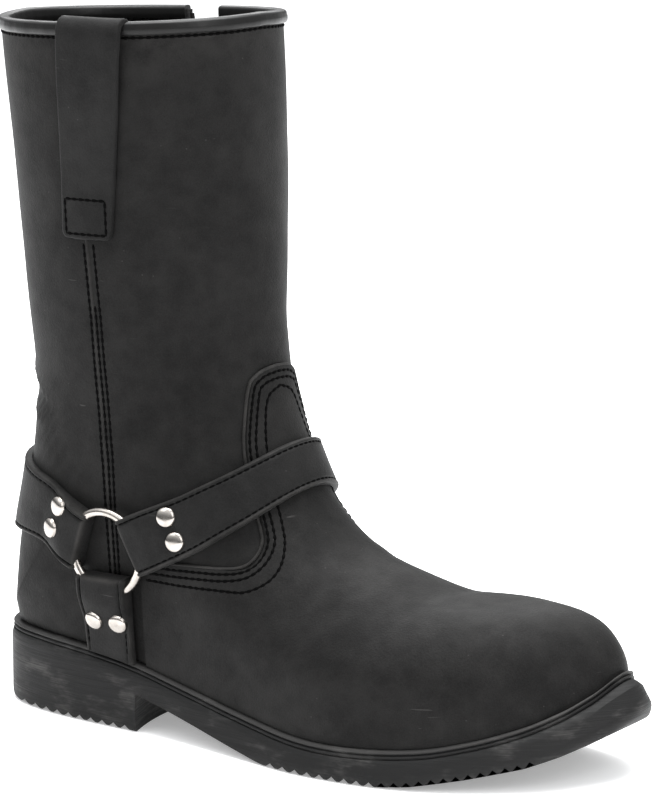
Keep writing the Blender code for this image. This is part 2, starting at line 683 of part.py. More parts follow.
def taut_slice(tree, anchor, along, clearance, stations):
    """Line round the boot in the plane of along and Y, from one ring to the other, as (forward, y)."""
    origin = anchor + SLICE_INSIDE * along
    found = []
    for angle in SLICE_REACH:
        ray = math.cos(angle) * along + math.sin(angle) * np.array((0.0, 1.0, 0.0))
        hit = tree.ray_cast(Vector(origin), Vector(ray))[0]
        if hit is not None:
            away = np.array(hit) - origin
            found.append((SLICE_INSIDE + away @ along, away[1]))
    chain = convex_chain(found)
    dense = even_points(chain, SLICE_POINTS)
    dense = dense[dense[:, 0] >= STRAP_END]
    line = even_points(dense, stations)
    step = np.gradient(line, axis=0)
    normal = np.stack([step[:, 1], -step[:, 0]], 1)
    normal /= np.linalg.norm(normal, axis=1)[:, None]
    place = np.searchsorted(np.linspace(0, 1, stations), np.linspace(0, 1, len(dense)), 'right') - 1
    place = np.clip(place, 0, stations - 2)
    chord = line[place + 1] - line[place]
    side = np.stack([chord[:, 1], -chord[:, 0]], 1) / np.linalg.norm(chord, axis=1)[:, None]
    sag = max(0.0, ((dense - line[place]) * side).sum(1).max())
    line = line + (clearance + sag) * normal
    line[:, 0] = np.where(np.arange(stations) % (stations - 1) == 0, STRAP_END, line[:, 0])
    return line


def ring_centre(side):
    y = side_surface(UPPER_TREE, RING_X, RING_Z, side)
    return np.array((RING_X, y + side * RING_LIFT, RING_Z))


def ring_axis(side):
    axis = np.array((0.0, side, -RING_LEAN))
    return axis / np.linalg.norm(axis)


def side_surface(tree, x, z, side):
    """Y of the outermost surface at a place in side view."""
    hit = tree.ray_cast(Vector((x, side * BEYOND, z)), Vector((0, -side, 0)))[0]
    return hit.y


def strap_thickness(grid, normals):
    """Strap thickness, more near the rings where the leather is folded round the wire."""
    thick = np.full(grid.shape[:2], STRAP_THICK)
    for side in (LATERAL, MEDIAL):
        centre, axis = ring_centre(side), ring_axis(side)
        away = grid - centre
        near = np.linalg.norm(away, axis=2)
        fade = np.clip((near - FOLD_FULL) / FOLD_FADE, 0, 1)
        weight = 1 - fade**2 * (3 - 2 * fade)
        facing = np.maximum((normals * axis).sum(2), math.cos(math.radians(60)))
        wanted = (WIRE_RADIUS + GAP + FOLD_THICK - away @ axis) / facing
        thick = np.maximum(thick, STRAP_THICK + weight * (wanted - STRAP_THICK))
    return thick


def finish_strap(name, grid, away_from, sides):
    normals = grid_normals(grid, away_from)
    outer = grid + normals * strap_thickness(grid, normals)[:, :, None]
    points, faces = ribbon(grid, outer)
    strap = finish_object(name, to_bmesh(points, faces), LEATHER)
    for side in sides:
        cut(strap, TUNNELS[side])
    return strap


def make_ring_strap(name, forward, slope, width_ring, width_mid, clearance, stations):
    angle = math.radians(slope)
    along = np.array((forward * math.cos(angle), 0.0, math.sin(angle)))
    upwards = np.array((-forward * math.sin(angle), 0.0, math.cos(angle)))
    anchor = np.array((RING_X, 0.0, RING_Z))
    slices = []
    for place in SLICE_PLACES:
        start = anchor + place * upwards
        line = taut_slice(UPPER_TREE, start, along, clearance, stations)
        slices.append(start + line[:, :1] * along + line[:, 1:] * np.array((0.0, 1.0, 0.0)))
    slices = np.stack(slices, 1)
    share = np.linspace(0, 1, stations)
    rise = np.interp(np.minimum(share, 1 - share), *np.transpose(STRAP_RISE[name]))
    half = (width_ring + (width_mid - width_ring) * np.sin(math.pi * share) ** 2) / 2
    grid = np.empty((stations, 3, 3))
    for k, edge in enumerate((-1, 0, 1)):
        for m, place in enumerate(rise + edge * half):
            grid[m, k] = [np.interp(place, SLICE_PLACES, slices[m, :, axis]) for axis in range(3)]
    return finish_strap(name, grid, anchor + SLICE_INSIDE * along, (LATERAL, MEDIAL))


def make_stay(side):
    """Strap from the ring down to the sole."""
    name = "strap_stay_lateral" if side < 0 else "strap_stay_medial"
    top = RING_Z - STAY_END
    grid = []
    for share in np.linspace(0, 1, STAY_STATIONS):
        row = []
        for x in STAY_X + STAY_WIDTH * np.array((-0.5, 0.0, 0.5)):
            z = top + (sole_top(x) + STAY_ABOVE_SOLE - top) * share
            y = side_surface(UPPER_TREE, x, z, side)
            row.append((x, y + side * (VAMP_PROUD + STAY_CLEAR), z))
        grid.append(row)
    return finish_strap(name, np.array(grid), np.array((STAY_X, 0.0, top)), (side,))


def ring_matrix(side):
    turn = Vector(ring_axis(side)).to_track_quat('Z', 'Y').to_matrix().to_4x4()
    return Matrix.Translation(Vector(ring_centre(side)) * MM) @ turn


def make_torus(name, side, wire):
    bpy.ops.mesh.primitive_torus_add(major_radius=RING_RADIUS * MM, minor_radius=wire * MM,
                                     major_segments=RING_SEGMENTS, minor_segments=WIRE_SEGMENTS)
    obj = bpy.context.object
    obj.name = name
    obj.data.name = name
    for old in list(obj.users_collection):
        old.objects.unlink(obj)
    obj.matrix_world = ring_matrix(side)
    return obj


def make_tunnel(side):
    """Space that the ring's wire takes inside the straps' folded ends."""
    tunnel = make_torus(f"ring_tunnel_{side}", side, WIRE_RADIUS + GAP)
    CUTTERS.objects.link(tunnel)
    tunnel.hide_render = True
    tunnel.display_type = 'WIRE'
    return tunnel


def make_ring(side):
    ring = make_torus("ring_lateral" if side < 0 else "ring_medial", side, WIRE_RADIUS)
    PARTS.objects.link(ring)
    ring.data.materials.append(NICKEL)
    ring.data.shade_smooth()
    return ring


def evaluated_tree(obj):
    """Ray casting tree of a finished object, in millimetres."""
    depsgraph = bpy.context.evaluated_depsgraph_get()
    bm = bmesh.new()
    bm.from_object(obj, depsgraph)
    bm.transform(obj.matrix_world)
    bmesh.ops.scale(bm, vec=(1 / MM, 1 / MM, 1 / MM), verts=bm.verts)
    tree = BVHTree.FromBMesh(bm)
    bm.free()
    return tree


def rivet_mesh():
    """Domed head turned from its profile."""
    profile = [(r * RIVET_RADIUS, h * RIVET_HEIGHT) for r, h in RIVET_DOME + ((0.0, 0.0),)]
    mesh = bpy.data.meshes.new("rivet_profile")
    edges = [(i, i + 1) for i in range(len(profile) - 1)]
    mesh.from_pydata([(x * MM, 0, z * MM) for x, z in profile], edges, [])
    obj = bpy.data.objects.new("rivet_profile", mesh)
    PARTS.objects.link(obj)
    screw = obj.modifiers.new("turn", 'SCREW')
    screw.steps = screw.render_steps = RIVET_STEPS
    screw.use_merge_vertices = True
    screw.merge_threshold = WELD * MM
    turned = bpy.data.meshes.new_from_object(obj.evaluated_get(bpy.context.evaluated_depsgraph_get()))
    bpy.data.objects.remove(obj)
    turned.name = "rivet"
    turned.materials.append(NICKEL)
    turned.shade_smooth()
    turned.set_sharp_from_angle(angle=RIVET_SHARP)
    return turned


def seat_height(tree, place, normal, turn):
    """How far the strap rises above the plane at place, anywhere under the rivet's head."""
    rise = 0.0
    for angle in np.linspace(0, 2 * math.pi, SEAT_RAYS, endpoint=False):
        edge = RIVET_RADIUS * math.cos(angle), RIVET_RADIUS * math.sin(angle)
        rim = turn @ Vector((*edge, SEAT_RAY_START))
        hit = tree.ray_cast(place + rim, -normal)[0]
        if hit is not None:
            rise = max(rise, (hit - place).dot(normal))
    return rise


def make_rivets(straps):
    """A rivet at each place of the table, on both sides, seated on the outermost strap there."""
    mesh = rivet_mesh()
    trees = [evaluated_tree(strap) for strap in straps]
    for side, where in ((LATERAL, "lateral"), (MEDIAL, "medial")):
        for name, x, z in RIVETS:
            start, inwards = Vector((x, side * BEYOND, z)), Vector((0, -side, 0))
            hits = [tree.ray_cast(start, inwards) + (tree,) for tree in trees]
            place, normal, _, _, tree = max((h for h in hits if h[0]), key=lambda h: side * h[0].y)
            turn = normal.to_track_quat('Z', 'Y').to_matrix()
            seat = place + normal * (seat_height(tree, place, normal, turn) + GAP)
            rivet = bpy.data.objects.new(f"rivet_{where}_{name}", mesh)
            rivet.matrix_world = Matrix.Translation(seat * MM) @ turn.to_4x4()
            PARTS.objects.link(rivet)


def make_pull_strap():
    """Band sewn to the outside of the shaft, over the collar and down inside it."""
    rim = section_points(len(SECTIONS) - 1)
    rim_z = np.interp(PULL_X + PULL_LEAN, *(rim[[0, len(rim) // 2], axis] for axis in (0, 2)))
    turn_z = rim_z - PULL_BELOW_RIM
    grid = []
    for across in np.linspace(-0.5, 0.5, 5):
        line = []
        for share in np.linspace(0, 1, PULL_STATIONS):
            x = PULL_X + PULL_LEAN * share + (PULL_WIDTH + PULL_FLARE * share) * across
            z = PULL_FOOT + (turn_z - PULL_FOOT) * share
            clear = STRAP_CLEAR + (PULL_CLEAR - STRAP_CLEAR) * share
            line.append((x, clear - side_surface(UPPER_TREE, x, z, LATERAL), z))
        outside = line[-1][1]
        inside = outside - 2 * PULL_CLEAR - WALL - GAP
        line += [(x, outside - inwards, rim_z + rise) for inwards, rise in PULL_TURN]
        line += [(x, inside + inwards, rim_z + rise) for inwards, rise in PULL_TURN[::-1]]
        line += [(x, inside, rim_z - PULL_INSIDE_STEP), (x, inside, PULL_INSIDE_FOOT)]
        grid.append([(x, -y, z) for x, y, z in line])
    grid = np.array(grid).swapaxes(0, 1)
    along = np.gradient(grid, axis=0)
    normal = np.stack([0 * along[..., 0], along[..., 2], -along[..., 1]], 2)
    normal /= -np.linalg.norm(normal, axis=2)[:, :, None]
    points, faces = ribbon(grid, grid + PULL_THICK * normal)
    return finish_object("pull_strap", to_bmesh(points, faces), LEATHER)


# Zip

def box(low, high):
    corners = [(low[0], low[1]), (high[0], low[1]), (high[0], high[1]), (low[0], high[1])]
    return prism(corners, 2, low[2], high[2])


def zip_face():
    """Y of the plane that clears the chain all over the slider."""
    steps = (-1, 0, 1)
    places = [(ZIP_X + i * SLIDER_HALF_X, SLIDER_Z + k * SLIDER_HALF_Z) for i in steps for k in steps]
    return max(side_surface(UPPER_TREE, x, z, MEDIAL) for x, z in places) - CHAIN_SUNK


def make_chain():
    grid = []
    for z in np.linspace(ZIP_FOOT, ZIP_TOP, CHAIN_STATIONS):
        row = []
        for x in ZIP_X + (ZIP_HALF - GAP) * np.array((-1.0, 0.0, 1.0)):
            row.append((x, side_surface(UPPER_TREE, x, z, MEDIAL) - CHAIN_SUNK - CHAIN_THICK, z))
        grid.append(row)
    grid = np.array(grid)
    points, faces = ribbon(grid, grid + (0, CHAIN_THICK, 0))
    return finish_object("zip_chain", to_bmesh(points, faces), ZIP)


def make_slider():
    """Body on the chain with two cheeks that hold the pull tab's knuckle."""
    face = zip_face() + GAP
    low = (ZIP_X - SLIDER_HALF_X, face, SLIDER_Z - SLIDER_HALF_Z)
    high = (ZIP_X + SLIDER_HALF_X, face + SLIDER_THICK, SLIDER_Z + SLIDER_HALF_Z)
    slider = finish_object("zip_slider", to_bmesh(*box(low, high)), NICKEL, smooth=False)
    for side in (-1, 1):
        xs = sorted((ZIP_X + side * CHEEK_IN, ZIP_X + side * CHEEK_OUT))
        low = (xs[0], face + SLIDER_THICK - CHEEK_SUNK, CHEEK_TOP - CHEEK_HEIGHT)
        high = (xs[1], face + SLIDER_THICK + CHEEK_REACH, CHEEK_TOP)
        cut(slider, make_cutter(f"cheek_{side}", *box(low, high)), 'UNION')
    return slider


def make_pull():
    """Pull tab with its knuckle, its origin on the hinge axis."""
    face = zip_face() + GAP + SLIDER_THICK
    hinge = Vector((ZIP_X, face + HINGE_LIFT, CHEEK_TOP - CHEEK_HEIGHT / 2))
    outline = list(PULL_TAB_OUTLINE) + [(-x, z) for x, z in PULL_TAB_OUTLINE[::-1]]
    points, faces = prism(outline, 1, -PULL_TAB_THICK / 2, PULL_TAB_THICK / 2)
    pull = finish_object("zip_pull", to_bmesh(points, faces), NICKEL, smooth=False)
    pull.location = hinge * MM
    knuckle = bmesh.new()
    turn = Matrix.Rotation(math.pi / 2, 4, 'Y')
    bmesh.ops.create_cone(knuckle, cap_ends=True, segments=KNUCKLE_SIDES, radius1=KNUCKLE_RADIUS,
                          radius2=KNUCKLE_RADIUS, depth=2 * KNUCKLE_HALF, matrix=turn)
    cutter = finish_object("knuckle", knuckle, collection=CUTTERS, smooth=False)
    cutter.location = hinge * MM
    cutter.hide_render = True
    cutter.display_type = 'WIRE'
    cut(pull, cutter, 'UNION')
    return pull


for old in list(bpy.data.objects):
    bpy.data.objects.remove(old, do_unlink=True)

PARTS = make_collection("motorcycle_boot")
CUTTERS = make_collection("cutters")

LEATHER = make_material("leather", (0.030, 0.029, 0.028), 0.62)
BINDING = make_material("binding_leather", (0.022, 0.021, 0.021), 0.45)
LINING = make_material("lining", (0.045, 0.043, 0.041), 0.85)
RUBBER = make_material("rubber", (0.022, 0.022, 0.022), 0.70)
NICKEL = make_material("nickel", (0.78, 0.76, 0.71), 0.18, 1.0)
ZIP = make_material("zip_tape", (0.018, 0.018, 0.018), 0.75)

ZIP_CUTTER = make_zip_cutter()
SURFACE = upper_surface(section_params())
UPPER_TREE = BVHTree.FromBMesh(SURFACE)
make_outsole()
make_insole()
make_upper(SURFACE)
SURFACE.free()
make_vamp()
make_binding()
make_pull_strap()
TUNNELS = {side: make_tunnel(side) for side in (LATERAL, MEDIAL)}
STRAP_OBJECTS = [make_ring_strap(*row) for row in STRAPS]
STRAP_OBJECTS += [make_stay(side) for side in (LATERAL, MEDIAL)]
for ring_side in (LATERAL, MEDIAL):
    make_ring(ring_side)
make_rivets(STRAP_OBJECTS)
make_chain()
make_slider()
make_pull()
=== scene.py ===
import math

import bmesh
import bpy
import numpy as np
from mathutils import Matrix, Vector
from mathutils.bvhtree import BVHTree


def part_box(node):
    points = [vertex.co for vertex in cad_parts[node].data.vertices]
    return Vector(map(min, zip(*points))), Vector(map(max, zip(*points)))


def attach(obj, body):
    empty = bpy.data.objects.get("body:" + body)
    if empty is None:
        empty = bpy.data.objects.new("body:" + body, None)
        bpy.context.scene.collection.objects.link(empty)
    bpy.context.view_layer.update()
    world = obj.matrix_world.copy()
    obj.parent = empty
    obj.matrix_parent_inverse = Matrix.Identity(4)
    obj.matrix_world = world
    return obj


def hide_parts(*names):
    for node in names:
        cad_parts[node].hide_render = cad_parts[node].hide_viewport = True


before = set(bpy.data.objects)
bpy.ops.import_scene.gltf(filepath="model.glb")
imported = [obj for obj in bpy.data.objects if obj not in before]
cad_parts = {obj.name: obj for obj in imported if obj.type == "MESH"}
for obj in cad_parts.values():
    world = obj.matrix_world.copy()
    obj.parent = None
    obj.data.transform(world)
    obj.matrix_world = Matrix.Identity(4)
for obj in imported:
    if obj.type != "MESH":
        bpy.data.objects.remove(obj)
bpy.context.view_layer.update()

MM = 0.001
LATERAL, MEDIAL = BOTH = -1, 1
SIDE_NAMES = {LATERAL: "lateral", MEDIAL: "medial"}
ACROSS = np.array((0.0, 1.0, 0.0))
BEYOND = 90.0
GAP = 0.3

# Sole edge from above, from the heel round the outer side to the toe and back
SOLE_EDGE = (
    # x, y
    (-40, 0), (-31, -24.5), (0, -37), (60, -43), (110, -51), (152, -58), (200, -53), (243, -31),
    (262.5, -10), (274, 14), (266.5, 34), (241, 44), (185, 50), (140, 46), (75, 34), (0, 37), (-31, 25),
)
EDGE_STEPS = 40
RIM_WIDTH = ((-40, 5.8), (-27, 4.2), (0, 3.4), (40, 4.2), (110, 6.0), (230, 6.0), (274, 11.0))
SOLE_TOP = ((-40, 37.0), (0, 36.5), (40, 33), (80, 25.5), (120, 18.5), (160, 15), (200, 17.4),
            (222, 21.6), (243, 27.6), (259, 35.3), (267, 41.8), (274, 48.5))
SOLE_UNDER = ((-40, 3.5), (-32, 0), (185, 0), (200, 1.5), (222, 5.6), (243, 10.4), (254, 14.6),
              (262, 18.6), (268, 22.2), (274, 27.5))
HEEL_LIFT, HEEL_LIFT_X, HEEL_LIFT_FADE = 0.6, -26.0, 8.0

# How far the lip is drawn in from the sole's edge
LIP_DRAW = ((-40, 1.5), (-20, 0.6), (0, 0.4), (60, 1.2), (110, 2.2), (230, 2.6), (260, 5.6), (274, 8.6))
# How far the lip climbs the toe
LIP_LIFT = ((225, 0.0), (243, 0.7), (254, 1.6), (260, 3.2), (264, 5.2), (268, 6.6), (274, 7.4))
# Side of the sole: lip, two fine grooves, wall
SOLE_STATIONS = 150
SOLE_SIDE = (
    # outwards, share of the draw, height: below the top if negative, or else above the floor
    (-3.40, 1.00, -0.10), (-2.20, 1.00, -0.05), (-1.10, 1.00, -0.10), (-0.45, 1.00, -0.40),
    (-0.10, 1.00, -0.85), (-0.05, 1.00, -1.20), (-0.30, 1.00, -1.60), (-0.95, 0.99, -1.85),
    (-1.00, 0.98, -2.15), (-0.40, 0.96, -2.40), (-0.10, 0.94, -2.80), (-0.15, 0.92, -3.20),
    (-0.40, 0.91, -3.50), (-0.90, 0.90, -3.70), (-0.90, 0.89, -3.95), (-0.30, 0.86, -4.20),
    (0.00, 0.78, -4.80), (0.10, 0.48, -6.60), (0.05, 0.03, 5.00), (0.00, 0.00, 3.40),
    (-0.20, 0.00, 2.00), (-0.60, 0.00, 1.00), (-1.20, 0.00, 0.35), (-2.20, 0.00, 0.00),
)
LIP_TOP, LIP_FOOT, LIP_HIGHLIGHT = 2, 5, 0.6    # rows of the lip, and how much painted highlight lightens it
WALL_ROW, WALL_ROWS = 17, 7                # top row of the wall, and the rows added below it
BREAST_X, BREAST_HOLLOW, BREAST_HALF, BREAST_LINES = 51.0, 8.0, 42.0, 25
ARCH = ((51, 17.5), (68, 13.8), (100, 6.5), (129, 0))
CUT_BELOW = 5.0
TOOTH_PITCH, TOOTH_DEPTH, TOOTH_CUT, TOOTH_LENGTH = 6.3, 2.5, 5.6, 14.0
NOTCH_BELOW, NOTCH_BEYOND, NOTCH_SKEW = 0.15, 6.0, 0.73
TREAD_ZONES = ((-19, 48), (133, 246))
SOLE_SHARP = 28

# Insole: inset and height of its side
INSOLE_STATIONS, INSOLE_INSET, INSOLE_RIM = 80, 1.0, 1.45
INSOLE_SIDE = ((1.0, 0.0), (0.0, 1.0), (0.0, 2.2), (0.6, 2.8), (2.0, 3.0))

# Sections of the upper: ridge point, far point (on the sole where its height is None), belly and fullness
SECTIONS = (
    # ridge x, z  far x, z      belly  outer inner ridge y, fullness low and at the ridge
    (210,   76.2,  210,   None, 0.40,  48,   45.5, 4,    1.6, 2.5),
    (185,   66.7,  185,   None, 0.38,  51,   46.5, 4,    1.6, 2.8),
    (159.5, 74.7,  160,   None, 0.36,  53.5, 46.0, 5,    1.6, 2.1),
    (136.5, 85.2,  132,   None, 0.35,  50.5, 43.0, 6,    1.6, 1.9),
    (118,   105.3, 95,    None, 0.36,  45.5, 39.5, 5,    1.6, 1.85),
    (106.6, 132.3, 58,    None, 0.40,  42,   38.5, 4,    1.6, 1.9),
    (100.7, 157,   18,    None, 0.45,  41.6, 39.2, 3,    1.7, 2.0),
    (99.8,  178,   -17,   None, 0.48,  42.6, 40.7, 2,    1.8, 2.0),
    (99.6,  192,   -34.2, 37.6, 0.50,  43.5, 42.2, 1.5,  1.9, 2.0),
    (99.4,  207,   -30.3, 70,   0.50,  44.8, 44.0, 1,    2.0, 2.05),
    (99.1,  225,   -22.4, 105,  0.50,  46.4, 46.0, 0.5,  2.0, 2.05),
    (98.7,  243,   -18.6, 143,  0.50,  47.8, 47.7, 0,    2.0, 2.1),
    (98.4,  262,   -22.6, 190,  0.50,  49,   49,   0,    2.0, 2.1),
    (98.2,  286,   -26.2, 242,  0.50,  50.5, 50.5, 0,    2.0, 2.1),
    (97,    312.6, -31.6, 308,  0.50,  52,   52,   0,    2.0, 2.1),
)
BALL, VAMP, HEEL_SEAT, HEEL_CORNER, COLLAR = 1, 2, 7, 8, 14
SHAFT_SPANS, BACK_N, RIDGE_LEAN = 3.0, 2.15, 1.5
ROWS_PER_SPAN, HEEL_ROWS = 13, 16
LOW_STEPS, RIDGE_STEPS = 16, 22
TOE_COLUMNS = 61
TOE_TIP_X, TOE_TIP_Z = 261.6, 43.0
TIP_FULL, TIP_SLANT = 7.0, 1.3
INSIDE = (120.0, 0.0, 60.0)
WALL = 2.2
RELAX_ROUNDS, RELAX_LEAST, RELAX_STEPS = 50, 0.25, (0.5, -0.53)
COLLAR_WORN, COLLAR_WEAR = 0.8, 0.25
FOOT_MARGIN = 1.5           # lowest place above the sole where the upper's side is felt for

# Vamp: edge on the outer side from the tip of its tongue down and back, and its inner row of stitches
VAMP_THICK = 1.2
VAMP_PROUD = GAP + VAMP_THICK
VAMP_END_X, VAMP_FRONT_X = 56.0, 320.0      # its wings end behind the instep strap
VAMP_ROWS = (2.5, 5.4)      # stitch rows along the edge
EDGE_STEP, EDGE_SOFT = 1.2, 6
VAMP_BEAD, VAMP_EDGE_HIGHLIGHT = (1.3, -0.2, VAMP_PROUD + 0.2, 12), 0.6       # width, low, high, sides; painted highlight along the edge
VAMP_EDGE = ((99.7, 0, 162), (98.4, -7, 161), (96.9, -11.5, 158.7), (95.7, -14.6, 154.6),
             (96.4, -18.6, 140.5), (97.2, -20.6, 131.9), (99.4, -22.3, 122.0), (105, -25, 108),
             (110.4, -27.4, 95.5), (112.2, -29.4, 90.2), (111.3, -33.2, 84.6), (107.2, -36.6, 80.8),
             (98.7, -38.8, 79.4), (86.8, -39.9, 79.2), (64, -41, 79), (41, -41.5, 79), (30, -41.5, 79))
VAMP_ROW = ((101.8, 0, 153.4), (101.2, -6.5, 150.4), (101.2, -9.5, 145), (103.0, -12.4, 134),
            (105.8, -14.6, 124.2), (111, -17.2, 110), (116.6, -20.2, 98.4), (120.6, -24.2, 90.0),
            (122.2, -30.4, 81.0), (119.2, -36, 74.6), (110.9, -40, 70.6), (100, -41, 70.2),
            (80, -41.5, 70.2), (50, -41.5, 70.2))

# Side seam of the outer side in side view (z, x), upwards, and its stitch rows: offset, top
SIDE_SEAM = ((60, 40.8), (94, 40.7), (139, 40.4), (184, 39.8), (219, 37.6))
SEAM_ROWS = ((-2.5, 217), (0.35, 190), (2.6, 217))
SEAM_EDGE, SEAM_TOP, SEAM_FOOT, SEAM_STEP = -0.6, 232, 60, 1.5
SEAM_BEAD, SEAM_WEAR = (1.5, -0.6, 0.42, 10), 0.3

# Straps
STRAP_THICK, STRAP_CLEAR = 3.0, 0.4
RING_X, RING_Z, RING_RADIUS, WIRE_RADIUS = 41.0, 81.0, 18.3, 2.0
FOLD_THICK, STRAP_END, STAY_END, FOLD_FULL, FOLD_FADE = 1.1, 12.8, 10.3, 22.3, 16.0
RING_LEAN = 0.06
STRAPS = (
    # node           forward  slope  width at ring  width half way  clearance
    ("strap_instep",   1,      26,   26.8,          21.5,           VAMP_PROUD + STRAP_CLEAR),
    ("strap_heel",    -1,      20,   27.0,          37.0,           STRAP_CLEAR),
)
# Middle of each strap above the sloping plane through its ring, by its share of the way to the other ring
STRAP_RISE = {
    "strap_instep": ((0.0, -2.4), (0.07, -2.8), (0.17, -3.3), (0.30, -1.2), (0.45, 2.6), (0.5, 3.0)),
    "strap_heel": ((0.0, -1.5), (0.06, -0.6), (0.15, 1.8), (0.31, -3.6), (0.5, -7.6)),
}
RISE_SOFT, RISE_GRID = 0.10, 1000      # share of the strap over which its bends are eased, steps
SLICES = np.array((-28.0, -21.0, -14.0, -7.0, 0.0, 7.0, 14.0, 20.0))
SLICE_INSIDE = 40.0
SLICE_REACH = np.radians(np.arange(-150, 150.5, 0.5))
SLICE_STEPS, SLICE_SOFT = 800, 7
STRAP_LENGTH, STRAP_STATIONS = 230.0, 190
STAY_X, STAY_WIDTH, STAY_CLEAR, STAY_SUNK = 38.0, 26.0, 0.6, 0.6
STAY_LENGTH, STAY_STATIONS = 40.0, 50
END_STEPS, AFTER_END = np.array((0.0, 0.15, 0.4, 0.8, 1.3, 1.9, 2.6, 3.4)), 4.4
# Strap from its edge inwards: distance, share of its thickness
STRAP_EDGE = ((0.0, 0.25), (0.10, 0.55), (0.35, 0.86), (0.75, 1.00), (1.25, 1.05), (1.75, 1.01),
              (2.05, 0.90), (2.30, 0.86), (2.55, 0.90), (2.95, 0.99), (3.80, 1.02))
STRAP_ACROSS = (STRAP_EDGE, 7, 1.03)         # edge, points of the middle and their share
STITCH_COLUMN, STITCH_ENDS, WORN_COLUMNS = 7, 5, 5
SHARE_WEAR = ((0.25, 0.2), (0.86, 0.55), (1.0, 0.5), (1.05, 0.8))
END_ROUND, END_THIN, END_WEAR, END_WORN = 2.4, 0.25, 0.9, 1.6
SHARP, ROUND_SHARP, STRAP_SHARP = 40, 50, 55         # angles above which an edge is shaded sharp
RIVETS = (
    # name      x     z, in side view
    ("front_upper", 73.0, 100.4),
    ("front_lower", 77.8,  90.1),
    ("rear_upper",  17.2,  99.2),
    ("rear_lower",  11.9,  88.8),
    ("stay_rear",   32.3,  49.1),
    ("stay_front",  45.9,  49.4),
)
RIVET_RADIUS, RIVET_HEIGHT, RIVET_SEAT = 4.6, 2.3, 3.4
RIVET_FOOT = [(1.0, -0.35), (1.0, 0.06), (0.985, 0.16)]      # shares of the radius and the height
RIVET_DOME, RIVET_START, RIVET_ROWS, RIVET_SIDES = 0.965, 0.22, 14, 48
RING_STEPS, WIRE_SIDES = 96, 20

# Collar binding and pull strap
BINDING_THICK, BINDING_HEIGHT, BINDING_SEAM = 1.2, 3.8, 1.1
COLLAR_DIP, RIM_STEP = 3.2, 0.9
PULL_X, PULL_LEAN, PULL_THICK, PULL_FOOT, PULL_INSIDE_FOOT = 38.0, 6.4, 2.2, 219.0, 262.0
PULL_WIDTH_FOOT, PULL_WIDTH_TOP = 25.0, 32.0
PULL_CLEAR = GAP + BINDING_THICK + 0.9
PULL_TURN, PULL_CORNER, PULL_BOX = 4.0, 4.0, (2.4, 17.5, 2.2)
PULL_ROWS, PULL_TURN_ROWS, PULL_INSIDE_ROWS, PULL_AFTER_END = 60, 14, 16, 5.5
PULL_GAPE, PULL_OVER, PULL_PEAK = 1.8, 5.2, 0.6     # off the shaft at its front edge, over the rim
PULL_END = np.array((0.0, 0.15, 0.4, 0.8, 1.3, 2.0, 2.8, 3.6, 4.4))
PULL_EDGE = ((0.0, 0.3), (0.12, 0.65), (0.35, 0.9), (0.7, 1.0), (1.2, 1.03), (2.4, 1.0))
PULL_ACROSS = (PULL_EDGE, 17, 1.0)

# Zip
ZIP_X, ZIP_FOOT, ZIP_TOP, ZIP_HALF = 30.0, 110.0, 296.0, 4.5
ZIP_MOUTH_HALF, ZIP_MOUTH_Z, ZIP_MOUTH_RISE = 8.0, 290.0, 14.0
ZIP_CUT_TOP, ZIP_CUT = 335.0, (25.0, 75.0)
ZIP_EDGE_TOP, ZIP_STITCH_TOP, ZIP_STITCHES = 306.0, 303.0, (3.0, 6.2)
TAPE_DEPTH, TAPE_THICK = 1.7, 0.8
ZIP_ROWS, ZIP_COLUMNS, TAPE_PLAY = 90, 9, 0.05
ZIP_BEAD, ZIP_WEAR = (2.2, -1.4, 0.3, 12), 0.25
ZIP_EDGE_SOFT, ZIP_STITCH_SOFT = (2, 6), (4, 3)             # points to each side, rounds of the normals
ZIP_TOOTH_PITCH, ZIP_TOOTH_IN, ZIP_TOOTH_WIDE, ZIP_TOOTH_HIGH = 1.25, 0.75, 0.75, 0.52
ZIP_TOOTH = ((-1.75, 0.35), (-1.55, 0.8), (-1.1, 1.0), (1.1, 1.0), (1.55, 0.8), (1.75, 0.35))

# Stitches
STITCH_PITCH, STITCH_LENGTH, STITCH_WIDTH, STITCH_HEIGHT = 3.3, 2.5, 1.3, 0.42
# Dark strip of thread colour under each row of stitches: painted shade of the groove they press in
SHADE_STRIP_WIDTH, SHADE_STRIP_RISE, SHADE_STRIP_STEP = 0.8, 0.05, 1.0
STITCH_FEEL = 0.4           # half the length over which a stitch takes its direction


# Curves

def spline(points, params, closed=False):
    """Smooth curve through points, read at params that count the spans."""
    p = np.asarray(points, float)
    n = len(p)
    t = np.asarray(params, float)
    i = np.floor(t).astype(int)
    if closed:
        a, b, c, d = (p[(i + k) % n] for k in (-1, 0, 1, 2))
    else:
        i = np.clip(i, 0, n - 2)
        full = np.vstack([2 * p[0] - p[1], p, 2 * p[-1] - p[-2]])
        a, b, c, d = (full[i + k] for k in (0, 1, 2, 3))
    u = (t - i)[:, None]
    bend = (2 * a - 5 * b + 4 * c - d) * u**2 + (3 * b - a - 3 * c + d) * u**3
    return 0.5 * (2 * b + (c - a) * u + bend)


def spline_table(points, per_span=12):
    return spline(points, np.linspace(0, len(points) - 1, (len(points) - 1) * per_span + 1))


def read(table, at):
    """Second column of a table at places of its first."""
    return np.interp(at, *np.transpose(table))


def unit(v):
    return v / np.linalg.norm(v, axis=-1, keepdims=True)


def smooth_step(t):
    t = np.clip(t, 0, 1)
    return t * t * (3 - 2 * t)


def circle(count):
    return np.linspace(0, 2 * math.pi, count, endpoint=False)


def lengths(line):
    return np.concatenate([[0], np.cumsum(np.linalg.norm(np.diff(line, axis=0), axis=1))])


def columns_at(at, run, table):
    """Rows of a table read at distances along it."""
    return np.stack([np.interp(at, run, column) for column in table.T], 1)


def resample(line, at):
    return columns_at(at, lengths(line), line)


def soften(line, half):
    """Line smoothed over half points to each side."""
    kernel = np.ones(2 * half + 1) / (2 * half + 1)
    return np.stack([np.convolve(np.pad(column, half, 'edge'), kernel, 'valid') for column in line.T], 1)


TOP_TABLE = spline_table(SOLE_TOP)


